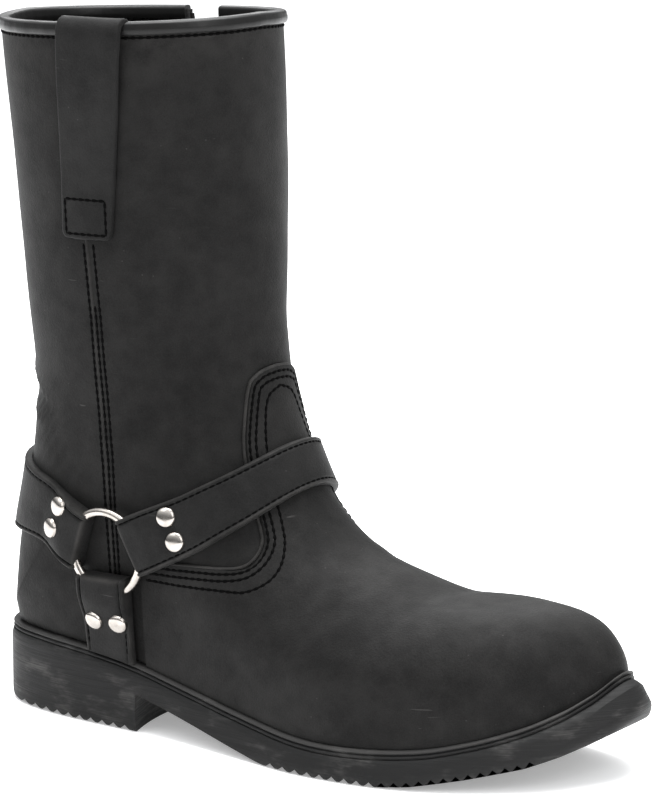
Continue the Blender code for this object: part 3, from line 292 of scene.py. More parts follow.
def sole_top(x):
    return read(TOP_TABLE, x)


def sole_under(x):
    return read(SOLE_UNDER, x)


def sole_branches(offset, rim_share=0.0, draw_share=0.0):
    """Outer and inner sole edge from heel to toe, moved outwards by offset, inwards by rim and draw."""
    edge = spline(SOLE_EDGE, np.arange(0, len(SOLE_EDGE), 1 / EDGE_STEPS), closed=True)
    step = np.roll(edge, -1, 0) - np.roll(edge, 1, 0)
    normal = np.stack([step[:, 1], -step[:, 0]], 1)
    inwards = rim_share * read(RIM_WIDTH, edge[:, 0]) + draw_share * read(LIP_DRAW, edge[:, 0])
    edge = edge + (offset - inwards)[:, None] * unit(normal)
    back, tip = edge[:, 0].argmin(), edge[:, 0].argmax()
    edge = np.roll(edge, -back, 0)
    tip = (tip - back) % len(edge)
    return edge[:tip + 1], np.vstack([edge[tip:], edge[:1]])[::-1]


FOOT_OUTER, FOOT_INNER = sole_branches(0.0, 1.0)


def foot_edge(x, side):
    return side * read(FOOT_OUTER if side < 0 else FOOT_INNER, x)


def sole_loop(offset, stations, rim_share=0.0, draw_share=0.0):
    outer, inner = sole_branches(offset, rim_share, draw_share)
    share = 0.5 - 0.5 * np.cos(np.linspace(0, math.pi, stations + 1))
    x = outer[0, 0] + (outer[-1, 0] - outer[0, 0]) * share
    there, back = (np.stack([x, read(branch, x)], 1) for branch in (outer, inner))
    return np.vstack([there, back[-2:0:-1]])


def loft(loops, closed=True):
    """Vertices and side faces of loops that have the same number of points."""
    count = len(loops[0])
    faces = []
    for r in range(len(loops) - 1):
        for i in range(count if closed else count - 1):
            j = (i + 1) % count
            faces.append([r * count + i, r * count + j, (r + 1) * count + j, (r + 1) * count + i])
    return np.vstack(loops), faces


def tube(loops):
    """Loft of closed loops with both ends closed."""
    points, faces = loft(loops)
    count, last = len(loops[0]), len(points) - len(loops[0])
    return points, faces + [list(range(count))[::-1], list(range(last, last + count))]


def sole_form(loops, stations):
    """Loft of loops of the sole's plan, closed by strips across it."""
    points, faces = loft(loops)
    count = 2 * stations
    for start in (0, len(points) - count):
        for i in range(stations):
            quad = (i, i + 1, (count - i - 1) % count, (count - i) % count)
            faces.append([start + k for k in dict.fromkeys(quad)])
    return points, faces


def prism(outline, axis, start, end):
    return tube([np.insert(np.asarray(outline, float), axis, at, axis=1) for at in (start, end)])


# Meshes

def shaded(mesh, sharp):
    mesh.shade_smooth()
    mesh.set_sharp_from_angle(angle=math.radians(sharp))
    return mesh


def new_mesh(name, points, faces, sharp=SHARP):
    mesh = bpy.data.meshes.new(name)
    mesh.from_pydata((np.asarray(points) * MM).tolist(), [], [list(map(int, f)) for f in faces])
    bm = bmesh.new()
    bm.from_mesh(mesh)
    bmesh.ops.recalc_face_normals(bm, faces=bm.faces)
    bm.to_mesh(mesh)
    bm.free()
    return shaded(mesh, sharp)


def add_object(name, data):
    obj = bpy.data.objects.new(name, data)
    bpy.context.scene.collection.objects.link(obj)
    return obj


def add_piece(name, mesh, material, replaces=()):
    obj = add_object(name, mesh)
    if material is not None:
        mesh.materials.clear()
        mesh.materials.append(material)
        mesh.polygons.foreach_set("material_index", np.zeros(len(mesh.polygons), np.int32))
    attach(obj, "boot")
    if replaces:
        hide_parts(*replaces)


def cut_mesh(mesh, cutter, operation, sharp=SHARP):
    """Mesh cut by a closed form given as points and faces."""
    obj, tool = add_object("cut", mesh), add_object("cutter", new_mesh("cutter", *cutter))
    modifier = obj.modifiers.new("cut", 'BOOLEAN')
    modifier.object, modifier.operation, modifier.solver = tool, operation, 'EXACT'
    modifier.material_mode = 'TRANSFER'
    result = bpy.data.meshes.new_from_object(obj.evaluated_get(bpy.context.evaluated_depsgraph_get()))
    for o in (obj, tool):
        bpy.data.objects.remove(o)
    return shaded(result, sharp)


def mesh_tree(mesh):
    """Ray casting tree of a mesh, in millimetres."""
    points = np.empty(len(mesh.vertices) * 3)
    mesh.vertices.foreach_get("co", points)
    faces = [list(p.vertices) for p in mesh.polygons]
    return BVHTree.FromPolygons((points.reshape(-1, 3) / MM).tolist(), faces)


def set_wear_and_highlight(mesh, values):
    """How worn each point is and how much painted highlight it gets: one value, or one a point."""
    layer = mesh.attributes.new("wear_and_highlight", 'FLOAT', 'POINT')
    layer.data.foreach_set("value", np.broadcast_to(values, len(mesh.vertices)).astype(np.float32))


# Upper

def section_params():
    early = np.arange(BALL, HEEL_SEAT, 1 / ROWS_PER_SPAN)
    turn = HEEL_SEAT + np.arange(HEEL_ROWS) / HEEL_ROWS
    late = np.arange(HEEL_CORNER, COLLAR, 1 / ROWS_PER_SPAN)
    return np.concatenate([early, turn, late, [COLLAR]])


def low_steps():
    return 1 - np.cos(np.linspace(0, math.pi / 2, LOW_STEPS + 1)[:-1])


def ridge_steps():
    f = np.cos(np.linspace(0, math.pi / 2, RIDGE_STEPS + 1))
    f[-1] = 0
    return f


def bulge(u, n):
    return (1 - (1 - u) ** n) ** (1 / n)


def section_values(param):
    rows = [row[:3] + (sole_top(row[2]) if row[3] is None else row[3],) + row[4:] for row in SECTIONS]
    values = spline(rows, [param])[0]
    far = [row[2:4] for row in rows]
    if param < HEEL_CORNER:
        values[2] = spline(far[:HEEL_CORNER + 1] + [far[HEEL_SEAT]], [param])[0][0]
        lifted = np.clip((HEEL_LIFT_X - values[2]) / HEEL_LIFT_FADE, 0, 1)
        values[3] = sole_top(values[2]) + HEEL_LIFT * lifted
    else:
        values[2:4] = spline([far[HEEL_CORNER + 1]] + far[HEEL_CORNER:], [param - HEEL_CORNER + 1])[0]
    return values


def section_points(param):
    """One section of the upper, from its outer far end over the ridge to its inner far end."""
    fx, fz, bx, bz, at, outer, inner, ridge, low_n, ridge_n = section_values(param)
    shift = bx - SECTIONS[HEEL_CORNER][2] if param > HEEL_CORNER else 0.0
    shaft = smooth_step((param - HEEL_CORNER) / SHAFT_SPANS)
    dip = COLLAR_DIP * np.clip(param - len(SECTIONS) + 2, 0, 1)
    u, f = low_steps(), ridge_steps()
    low_h, high_h = at * u, at + (1 - at) * (1 - f**ridge_n) ** (1 / ridge_n)
    halves = []
    for side, belly in ((LATERAL, outer), (MEDIAL, inner)):
        plan = foot_edge(bx - shift + (fx - bx) * np.append(low_h, at), side)
        low_y = plan[:-1] + (belly - plan[-1]) * bulge(u, low_n)
        low_y += shaft * (belly * bulge(u, BACK_N) - low_y)
        h, y = np.append(low_h, high_h), np.append(low_y, belly * f)
        lean = np.clip((h - at) / (1 - at), 0, 1) ** RIDGE_LEAN
        z = bz + (fz - bz) * h - (dip * y / belly if side == MEDIAL else 0.0)
        halves.append(np.stack([bx + (fx - bx) * h, side * y + ridge * lean, z], 1))
    return np.vstack([halves[0], halves[1][-2::-1]])


def toe_column(phi):
    """One line of the toe, from the sole up to the ridge of the ball section, which it leaves out."""
    _, fz, bx, bz, at, outer, inner, ridge, low_n, ridge_n = section_values(BALL)
    side = LATERAL if phi < 0 else MEDIAL
    foot = np.vstack([FOOT_OUTER, FOOT_INNER])
    angle = np.arctan2(foot[:, 1], foot[:, 0] - bx)
    order = np.argsort(angle)
    reach = np.interp(phi, angle[order], np.hypot(foot[:, 0] - bx, foot[:, 1])[order])
    swell_side = (outer if side < 0 else inner) / foot_edge(bx, side) - 1
    swell_tip = (TOE_TIP_X - bx) / (foot[:, 0].max() - bx) - 1
    belly = reach * (1 + swell_side * math.sin(phi) ** 2 + swell_tip * math.cos(phi) ** 2)
    foot_z = sole_top(bx + reach * math.cos(phi))
    tip_rise = TOE_TIP_Z - sole_top(TOE_TIP_X)
    rise = tip_rise + (at * (fz - bz) - tip_rise) * math.sin(phi) ** 2
    u, f = low_steps(), ridge_steps()[:-1]
    r = reach + max(belly - reach, 0) * bulge(u, low_n) + min(belly - reach, 0) * u
    low = np.stack([bx + r * math.cos(phi), r * math.sin(phi), foot_z + rise * u], 1)
    tip = math.cos(phi) ** 2
    full, slant = (ridge_n + (n - ridge_n) * tip for n in (TIP_FULL, TIP_SLANT))
    crown = (1 - f**full) ** (1 / slant)
    x, y = bx + belly * f * math.cos(phi), belly * f * math.sin(phi) + ridge * crown**RIDGE_LEAN
    vamp, guide = SECTIONS[VAMP], SECTIONS[0]
    slope = (vamp[1] - guide[1]) / (vamp[0] - guide[0])
    z = foot_z + rise + (fz - foot_z - rise) * crown + slope * (x - bx) * (1 - f * f) ** 2
    return np.vstack([low, np.stack([x, y, z], 1)])


def triangles(faces):
    return np.array([t for f in faces for t in ((f[0], f[k], f[k + 1]) for k in range(1, len(f) - 1))])


def point_normals(points, tris):
    a, b, c = (points[tris[:, k]] for k in range(3))
    flat = np.cross(b - a, c - a)
    normals = np.zeros_like(points)
    for k in range(3):
        np.add.at(normals, tris[:, k], flat)
    return unit(normals)


def face_edges(faces):
    """Undirected edges and how many faces use each."""
    pairs = np.array([(f[k], f[(k + 1) % len(f)]) for f in faces for k in range(len(f))])
    return np.unique(np.sort(pairs, axis=1), axis=0, return_counts=True)


def relax(points, faces, weight, rounds):
    """Smoothing that keeps the volume; weight says how much each point takes part."""
    edges, uses = face_edges(faces)
    weight = weight.copy()
    weight[edges[uses == 1].ravel()] = 0
    degree = np.bincount(edges.ravel(), minlength=len(points))[:, None]
    for _ in range(rounds):
        for factor in RELAX_STEPS:
            total = np.zeros_like(points)
            np.add.at(total, edges[:, 0], points[edges[:, 1]])
            np.add.at(total, edges[:, 1], points[edges[:, 0]])
            points = points + (factor * weight)[:, None] * (total / degree - points)
    return points


def renumber(faces):
    """Points that faces use, and the faces counted by those."""
    used, flat = np.unique(np.concatenate(faces), return_inverse=True)
    cuts = np.cumsum([len(f) for f in faces])[:-1]
    return used, [f.tolist() for f in np.split(flat, cuts)]


def upper_surface():
    """Outer surface of the upper: points, faces and each point's place along the sections."""
    params = section_params()
    rows = np.array([section_points(t) for t in params])
    count, width = rows.shape[:2]
    pole = width // 2
    index = np.arange(count * width).reshape(count, width)
    closed = params >= HEEL_CORNER
    index[closed, -1] = index[closed, 0]
    turns = np.linspace(-math.pi / 2, math.pi / 2, TOE_COLUMNS)[1:-1]
    columns = np.array([toe_column(phi) for phi in turns])
    toe = count * width + np.arange(columns.shape[0] * pole).reshape(-1, pole)
    lines = np.vstack([index[0, :pole], toe, index[0, :pole:-1]])
    quads = np.stack([index[:-1, :-1], index[:-1, 1:], index[1:, 1:], index[1:, :-1]], 2).reshape(-1, 4)
    toe_quads = np.stack([lines[:-1, :-1], lines[1:, :-1], lines[1:, 1:], lines[:-1, 1:]], 2).reshape(-1, 4)
    tips = np.stack([lines[:-1, -1], lines[1:, -1], np.full(len(lines) - 1, index[0, pole])], 1)
    points = np.vstack([rows.reshape(-1, 3), columns.reshape(-1, 3)])
    place = np.concatenate([np.repeat(params, width), np.full(columns.shape[0] * pole, float(BALL))])
    used, faces = renumber([*quads, *toe_quads, *tips])
    points, place = points[used], place[used]
    if ((points - INSIDE) * point_normals(points, triangles(faces))).sum() < 0:
        faces = [f[::-1] for f in faces]
    weight = RELAX_LEAST + (1 - RELAX_LEAST) * smooth_step(1.6 - np.abs(place - HEEL_CORNER) / 2.2)
    return relax(points, faces, weight, RELAX_ROUNDS), faces, place


# Folds of the leather, as lines in side view: sides, points (x, z), width, depth
FOLDS = (
    (BOTH, ((-24, 150), (-12, 147), (2, 141), (14, 137)), 4.0, 1.5),
    (BOTH, ((-12, 133), (0, 131), (12, 124), (24, 112), (31, 103)), 2.6, 0.55),
    ((LATERAL,), ((2, 126), (14, 118), (24, 108), (30, 101)), 1.8, 0.45),
    (BOTH, ((58, 128), (72, 131), (84, 140), (92, 152)), 5.0, 0.7),
    (BOTH, ((128, 62), (140, 66), (150, 74)), 6.0, 0.6),
)
FOLD_RIDGES = ((0.0, -1.0), (2.0, 0.55), (-2.0, 0.35))     # widths from the line, share of the depth
FOLD_REACH, UNEVEN = 3.2, 0.22


def fold_shift(points, normals):
    """How far each point moves along its normal for the folds and the leather's slight unevenness."""
    shift = np.zeros(len(points))
    for sides, line, width, depth in FOLDS:
        dense = spline_table(line, 10)
        gap = points[:, None, [0, 2]] - dense[None]
        dist = np.linalg.norm(gap, axis=2)
        near = dist.argmin(1)
        along = near / (len(dense) - 1)
        step = unit(np.gradient(dense, axis=0))[near]
        off = gap[np.arange(len(points)), near]
        signed = step[:, 0] * off[:, 1] - step[:, 1] * off[:, 0]
        fade = smooth_step(4 * along) * smooth_step(4 * (1 - along))
        fade = fade * smooth_step(FOLD_REACH - dist[np.arange(len(points)), near] / width)
        facing = sum(smooth_step(side * normals[:, 1] * 4) for side in sides)
        profile = sum(share * np.exp(-(signed / width - at) ** 2) for at, share in FOLD_RIDGES)
        shift += depth * fade * facing * profile
    x, y, z = points.T
    uneven = np.sin(x / 19 + 0.7) * np.sin(z / 27 + y / 40 + 1.1)
    uneven += 0.6 * np.sin(x / 9 - z / 31) * np.sin(z / 13 + y / 17)
    return shift + UNEVEN * uneven * smooth_step((z - 42) / 20)


def shell(points, faces, normals, low, high):
    """Closed wall between two offsets of an open surface; the outer side's faces come first."""
    count = len(points)
    edges = {}
    for f in faces:
        for k in range(len(f)):
            a, b = f[k], f[(k + 1) % len(f)]
            if (b, a) in edges:
                del edges[(b, a)]
            else:
                edges[(a, b)] = True
    walls = [[b, a, a + count, b + count] for a, b in edges]
    inner = [[i + count for i in f[::-1]] for f in faces]
    return np.vstack([points + high * normals, points + low * normals]), list(faces) + inner + walls


def side_point(tree, x, z, side):
    hit, normal, _, _ = tree.ray_cast(Vector((x, side * BEYOND, z)), Vector((0, -side, 0)))
    return np.array(hit), np.array(normal)


def side_line(tree, spots, side):
    """Points and normals seen from one side at the places (x, z)."""
    return [np.array(found) for found in zip(*(side_point(tree, x, z, side) for x, z in spots))]


def side_row(x, z, side, lift):
    """Points at x and z that stand off the upper's side; below it they follow its foot."""
    z = np.broadcast_to(z, x.shape)
    line, _ = side_line(UPPER_TREE, zip(x, np.maximum(z, sole_top(x) + FOOT_MARGIN)), side)
    return np.column_stack([x, line[:, 1] + side * lift, z])


def on_surface(tree, points):
    """Nearest surface points and normals."""
    found = [tree.find_nearest(Vector(p)) for p in points]
    return np.array([f[0] for f in found]), np.array([f[1] for f in found])


# Threads and beads

def smooth_normals(normals, rounds=3):
    for _ in range(rounds):
        padded = np.vstack([normals[:1], normals, normals[-1:]])
        normals = unit(padded[:-2] + 2 * padded[1:-1] + padded[2:])
    return normals


def sweep(line, normals, profile):
    """Closed form along a line: profile rows are (across, above)."""
    tangent = unit(np.gradient(line, axis=0))
    across = unit(np.cross(normals, tangent))
    above = np.cross(tangent, across)
    return tube(np.stack([line + a * across + h * above for a, h in profile], 1))


def oval(width, low, high, count):
    """Oval profile between two heights."""
    mid, half = (low + high) / 2, (high - low) / 2
    return [(width / 2 * math.cos(t), mid + half * math.sin(t)) for t in circle(count)]


def merge(parts):
    points, faces, start = [], [], 0
    for p, f in parts:
        points.append(np.asarray(p))
        faces += [[i + start for i in face] for face in f]
        start += len(p)
    return np.vstack(points), faces


# A stitch along its length: place, share of its thickness
CAPSULE = ((-1.0, 0.30), (-0.86, 0.72), (-0.5, 1.0), (0.0, 1.06), (0.5, 1.0), (0.86, 0.72), (1.0, 0.30))
CAPSULE_SIDES = 8


def thread_row(line, normals):
    """Short stitches along a line that lies on the leather, on a dark strip of painted shade where they
    press the leather in.
    """
    run = lengths(line)
    count = max(1, int(run[-1] / STITCH_PITCH))
    at = (np.arange(count) + 0.5) * run[-1] / count
    centre, before, after = (resample(line, at + d) for d in (0, -STITCH_FEEL, STITCH_FEEL))
    tangent = unit(after - before)
    normal = unit(columns_at(at, run, normals))
    across = unit(np.cross(normal, tangent))
    turn = circle(CAPSULE_SIDES)[:, None]
    parts = []
    for c, t, n, a in zip(centre, tangent, normal, across):
        ring = np.cos(turn) * a * STITCH_WIDTH / 2 + np.sin(turn) * n * STITCH_HEIGHT
        parts.append(tube([c + t * s * STITCH_LENGTH / 2 + r * ring for s, r in CAPSULE]))
    # Painted shade: a black strip just above the leather along the row, standing in for the pressed
    # groove's shadow
    dense = np.arange(0, run[-1], SHADE_STRIP_STEP)
    middle, normal = resample(line, dense), unit(columns_at(dense, run, normals))
    across = unit(np.cross(normal, np.gradient(middle, axis=0))) * SHADE_STRIP_WIDTH / 2
    middle = middle + SHADE_STRIP_RISE * normal
    parts.append(loft([middle - across, middle + across], False))
    return merge(parts)


def add_stitches(name, rows):
    add_piece(name, new_mesh(name, *merge(rows)), THREAD)


def add_bead(name, line, normals, profile, wear_and_highlight, material):
    mesh = new_mesh(name, *sweep(line, normals, profile))
    set_wear_and_highlight(mesh, wear_and_highlight)
    add_piece(name, mesh, material)


# Materials

class Shader:
    """Small helper to write a node tree."""

    def __init__(self, name):
        self.material = bpy.data.materials.new(name)
        self.material.use_nodes = True
        self.tree = self.material.node_tree
        coords = self.tree.nodes.new("ShaderNodeTexCoord").outputs["Object"]
        self.mm = self.add("VectorMath", (coords, (1 / MM, 1 / MM, 1 / MM)), operation='MULTIPLY')

    def fill(self, node, inputs):
        for key, value in inputs.items():
            if isinstance(value, bpy.types.NodeSocket):
                self.tree.links.new(value, node.inputs[key])
            else:
                node.inputs[key].default_value = value

    def add(self, kind, inputs, output=0, **settings):
        """Output of a new node whose inputs are given by name or in order."""
        node = self.tree.nodes.new("ShaderNode" + kind)
        for key, value in settings.items():
            setattr(node, key, value)
        self.fill(node, inputs if isinstance(inputs, dict) else dict(enumerate(inputs)))
        return node.outputs[output]

    def math(self, operation, *values):
        return self.add("Math", values, operation=operation)

    def times(self, a, b):
        return self.math('MULTIPLY', a, b)

    def total(self, *parts):
        """Sum of values times weights."""
        result = 0.0
        for value, weight in parts[::-1]:
            result = self.math('MULTIPLY_ADD', value, weight, result)
        return result

    def noise(self, size, detail=2.0, rough=0.5, stretch=None, twist=0.0):
        place = self.add("VectorMath", (self.mm, stretch), operation='MULTIPLY') if stretch else self.mm
        return self.add("TexNoise", {"Vector": place, "Scale": 1 / size, "Detail": detail,
                                     "Roughness": rough, "Distortion": twist}, "Fac")

    def cells(self, size):
        return self.add("TexVoronoi", {"Vector": self.mm, "Scale": 1 / size}, "Distance")

    def spread(self, value, low, high, to_low=0.0, to_high=1.0):
        inputs = {"Value": value, "From Min": low, "From Max": high, "To Min": to_low, "To Max": to_high}
        return self.add("MapRange", inputs, "Result", interpolation_type='SMOOTHSTEP')

    def mix(self, factor, a, b):
        return self.add("Mix", {0: factor, 6: a, 7: b}, 2, data_type='RGBA')

    def value(self, name):
        return self.add("Attribute", {}, "Fac", attribute_name=name)

    def bump(self, height, strength, distance):
        inputs = {"Strength": strength, "Distance": distance * MM, "Height": height}
        return self.add("Bump", inputs, "Normal")

    def finish(self, **inputs):
        named = {key.replace("_", " "): value for key, value in inputs.items()}
        self.fill(self.tree.nodes["Principled BSDF"], named)
        return self.material


def grey(level, warm=0.0):
    return (level * (1 + warm), level, level * (1 - warm), 1.0)


def leather_material(name, dark, light, rough, grain, specular):
    s = Shader(name)
    clouds = s.noise(48, 3, 0.55)
    patches = s.noise(9, 4, 0.6)
    nap = s.noise(0.55, 3, 0.6)
    pores = s.cells(1.1)
    tone = s.total((clouds, 0.5), (patches, 0.4), (nap, 0.45))
    colour = s.mix(s.spread(tone, 0.42, 0.92), dark, light)
    scratch = s.noise(3.2, 1, 0.4, (0.16, 0.16, 2.6), 0.6)
    marks = s.times(s.spread(scratch, 0.765, 0.785), s.spread(s.noise(30, 1), 0.55, 0.66))
    specks = s.times(s.spread(s.cells(5.5), 0.07, 0.035), s.spread(s.noise(24, 1), 0.50, 0.60))
    # The point attribute lightens the leather: real wear at the collar and strap edges, painted highlight
    # on the vamp's edge bead
    wear_and_highlight_level = s.times(s.value("wear_and_highlight"), s.spread(patches, 0.30, 0.62, 0.35, 1.0))
    colour = s.mix(s.times(wear_and_highlight_level, 0.6), colour, grey(0.050, 0.05))
    colour = s.mix(s.times(s.math('MAXIMUM', marks, specks), 0.24), colour, grey(0.12, 0.04))
    height = s.total((pores, 0.55), (nap, 0.6), (patches, 0.8))
    roughness = s.spread(tone, 0.42, 0.95, rough + 0.06, rough - 0.08)
    return s.finish(Base_Color=colour, Roughness=roughness, Normal=s.bump(height, 0.35 * grain, 0.35),
                    Specular_IOR_Level=specular, Sheen_Weight=0.03, Sheen_Roughness=0.5)


def rubber_material():
    s = Shader("boot_rubber")
    streaks = s.noise(0.55, 3, 0.6, (0.03, 0.03, 1.0))
    lines = s.noise(1.6, 2, 0.5, (0.012, 0.012, 1.0))
    scuffs = s.noise(16, 4, 0.62, (0.6, 0.6, 1.6))
    fine = s.noise(0.5, 2, 0.6)
    wear_and_highlight_level = s.times(s.spread(scuffs, 0.50, 0.72), s.spread(streaks, 0.35, 0.65, 0.35, 1.0))
    colour = s.mix(wear_and_highlight_level, grey(0.012), grey(0.054, 0.03))
    # Lighter colour where the point attribute is set: painted highlight along the sole's lip
    colour = s.mix(s.times(s.value("wear_and_highlight"), 0.7), colour, grey(0.062, 0.03))
    height = s.total((lines, 1.0), (streaks, 0.7), (fine, 0.15))
    return s.finish(Base_Color=colour, Roughness=s.spread(streaks, 0.3, 0.7, 0.62, 0.46),
                    Normal=s.bump(height, 0.5, 0.5), Specular_IOR_Level=0.13)


def nickel_material():
    s = Shader("polished_nickel")
    haze = s.noise(5, 3, 0.6)
    fine = s.noise(0.7, 2, 0.6)
    colour = s.mix(s.spread(haze, 0.35, 0.7), grey(0.46, 0.07), grey(0.34, 0.08))
    return s.finish(Base_Color=colour, Metallic=1.0, Roughness=s.spread(haze, 0.3, 0.75, 0.14, 0.28),
                    Normal=s.bump(fine, 0.05, 0.1))


def thread_material():
    s = Shader("black_thread")
    twist = s.noise(0.35, 2, 0.6)
    colour = s.mix(twist, grey(0.0004), grey(0.002))
    return s.finish(Base_Color=colour, Roughness=0.6, Normal=s.bump(twist, 0.5, 0.15),
                    Specular_IOR_Level=0.03)


def cloth_material(name, dark, light, pitch):
    s = Shader(name)
    warp = s.noise(pitch, 1, 0.5, (1.0, 1.0, 0.22))
    weft = s.noise(pitch, 1, 0.5, (0.22, 0.22, 1.0))
    weave = s.math('MAXIMUM', warp, weft)
    colour = s.mix(s.spread(weave, 0.4, 0.75), dark, light)
    return s.finish(Base_Color=colour, Roughness=0.88, Normal=s.bump(weave, 0.6, 0.3),
                    Specular_IOR_Level=0.15, Sheen_Weight=0.25)


LEATHER = leather_material("black_leather", grey(0.0045, 0.02), grey(0.0155, 0.03), 0.58, 1.0, 0.075)
STRAP_LEATHER = leather_material("strap_leather", grey(0.0045, 0.01), grey(0.0155, 0.02), 0.55, 1.0, 0.09)
BINDING = leather_material("binding_smooth_leather", grey(0.004), grey(0.010, 0.03), 0.34, 0.5, 0.22)
LINING = cloth_material("lining_cloth", grey(0.018), grey(0.055, 0.03), 0.8)
TAPE = cloth_material("zip_tape_cloth", grey(0.006), grey(0.022), 0.5)
RUBBER = rubber_material()
NICKEL = nickel_material()
THREAD = thread_material()


# Upper and vamp

SURFACE, FACES, PLACE = upper_surface()
TRIS = triangles(FACES)
NORMALS = point_normals(SURFACE, TRIS)
SURFACE = SURFACE + fold_shift(SURFACE, NORMALS)[:, None] * NORMALS
NORMALS = point_normals(SURFACE, TRIS)
UPPER_TREE = BVHTree.FromPolygons(SURFACE.tolist(), FACES)


def zip_outline(grow=0.0):
    half = [(ZIP_HALF + grow, ZIP_FOOT - GAP - grow), (ZIP_HALF + grow, ZIP_MOUTH_Z)]
    half += [(ZIP_MOUTH_HALF + grow, ZIP_MOUTH_Z + ZIP_MOUTH_RISE), (ZIP_MOUTH_HALF + grow, ZIP_CUT_TOP)]
    return [(ZIP_X + x, z) for x, z in half], [(ZIP_X - x, z) for x, z in half]


def make_upper():
    mesh = new_mesh("upper_leather", *shell(SURFACE, FACES, NORMALS, -WALL, 0.0))
    inner = np.zeros(len(mesh.polygons), np.int32)
    inner[len(FACES):2 * len(FACES)] = 1
    mesh.materials.append(LEATHER)
    mesh.materials.append(LINING)
    mesh.polygons.foreach_set("material_index", inner)
    wear_and_highlight_level = COLLAR_WEAR * smooth_step((PLACE - COLLAR) / COLLAR_WORN + 1)
    set_wear_and_highlight(mesh, np.append(wear_and_highlight_level, 0 * wear_and_highlight_level))
    right, left = zip_outline()
    mesh = cut_mesh(mesh, prism(right + left[::-1], 1, *ZIP_CUT), 'DIFFERENCE')
    add_piece("upper_leather", mesh, None, ("upper",))


def vamp_line(points):
    """Points and normals of a line of the vamp, laid on the upper over the ridge."""
    halves = []
    for side in BOTH:
        halves.append(on_surface(UPPER_TREE, spline_table([(x, -side * y, z) for x, y, z in points], 10)))
    return [np.vstack([outer[::-1], inner[1:]]) for outer, inner in zip(*halves)]


def make_vamp():
    edge, normals = vamp_line(VAMP_EDGE)
    used, faces = renumber([f for f in FACES if PLACE[f].max() <= HEEL_SEAT])
    mesh = new_mesh("vamp_leather", *shell(SURFACE[used], faces, NORMALS[used], GAP, VAMP_PROUD))
    crown = len(edge) // 2
    halves = []
    for side, line in ((LATERAL, edge[crown::-1]), (MEDIAL, edge[crown:])):
        wider = np.append(True, np.diff(np.maximum.accumulate(side * line[:, 1])) > 0.05)
        halves.append([tuple(p) for p in line[wider, 1:]])
    outline = halves[0] + [(-BEYOND, halves[0][-1][1]), (-BEYOND, -CUT_BELOW)]
    outline += [(BEYOND, -CUT_BELOW), (BEYOND, halves[1][-1][1])] + halves[1][:0:-1]
    mesh = cut_mesh(mesh, prism(outline, 0, VAMP_END_X, VAMP_FRONT_X), 'INTERSECT')
    add_piece("vamp_leather", mesh, LEATHER, ("vamp",))
    seen = edge[:, 0] > VAMP_END_X
    edge, normals = edge[seen], smooth_normals(normals, EDGE_SOFT)[seen]
    run = lengths(edge)
    at = np.arange(0, run[-1], EDGE_STEP)
    line, normals = resample(edge, at), unit(columns_at(at, run, normals))
    # Lighter colour on the edge bead: painted highlight of the cut edge catching the light
    add_bead("vamp_edge", line, normals, oval(*VAMP_BEAD), VAMP_EDGE_HIGHLIGHT, STRAP_LEATHER)
    inward = unit(np.cross(normals, np.gradient(line, axis=0)))
    if inward[len(inward) // 2][2] > 0:
        inward = -inward
    lines = [line + offset * inward + VAMP_PROUD * normals for offset in VAMP_ROWS]
    spots, facing = vamp_line(VAMP_ROW)
    third = spots + VAMP_PROUD * facing
    lines.append(third[third[:, 0] > VAMP_END_X + 1])
    tree = mesh_tree(mesh)
    add_stitches("vamp_stitches", [thread_row(*on_surface(tree, row)) for row in lines])


def seam_line(offset, top, foot):
    heights = np.arange(top, foot, -SEAM_STEP)
    across = read(SIDE_SEAM, heights) + offset
    line, normals = side_line(UPPER_TREE, zip(across, heights), LATERAL)
    return line, smooth_normals(normals)


def make_side_seam():
    rows = [thread_row(*seam_line(offset, top, SEAM_FOOT + 2)) for offset, top in SEAM_ROWS]
    add_stitches("side_seam_stitches", rows)
    line, normals = seam_line(SEAM_EDGE, SEAM_TOP, SEAM_FOOT)
    add_bead("side_seam_edge", line, normals, oval(*SEAM_BEAD), SEAM_WEAR, LEATHER)


# Sole

def waist_cutter():
    loops = []
    for y in (-BEYOND, *np.linspace(-BREAST_HALF, BREAST_HALF, BREAST_LINES), BEYOND):
        hollow = BREAST_HOLLOW * max(0.0, 1 - (y / BREAST_HALF) ** 2)
        profile = [(BREAST_X - hollow, -CUT_BELOW), (BREAST_X - hollow, ARCH[0][1])]
        profile += list(ARCH[1:]) + [(ARCH[-1][0] + CUT_BELOW, -CUT_BELOW)]
        loops.append(np.array([(x, y, z) for x, z in profile]))
    return tube(loops)


def tread_cutter():
    outer, inner = sole_branches(0.0)
    half = TOOTH_CUT / 2
    half_low = half * (TOOTH_DEPTH + NOTCH_BELOW) / TOOTH_DEPTH
    parts = []
    for start, end in TREAD_ZONES:
        for branch, side in ((outer, LATERAL), (inner, MEDIAL)):
            spots = np.linspace(start, end, 200)
            rows = spots - NOTCH_SKEW * side * read(branch, spots)
            for x in np.interp(np.arange(rows[0], rows[-1], TOOTH_PITCH), rows, spots):
                edge = side * read(branch, x)
                notch = [(x - half_low, sole_under(x - half) - NOTCH_BELOW),
                         (x + half_low, sole_under(x + half) - NOTCH_BELOW),
                         (x, sole_under(x) + TOOTH_DEPTH)]
                ends = side * (edge - TOOTH_LENGTH), side * (edge + NOTCH_BEYOND)
                points, faces = prism(notch, 1, *sorted(ends))
                points[:, 0] -= NOTCH_SKEW * (edge - side * points[:, 1])
                parts.append((points, faces))
    return merge(parts)


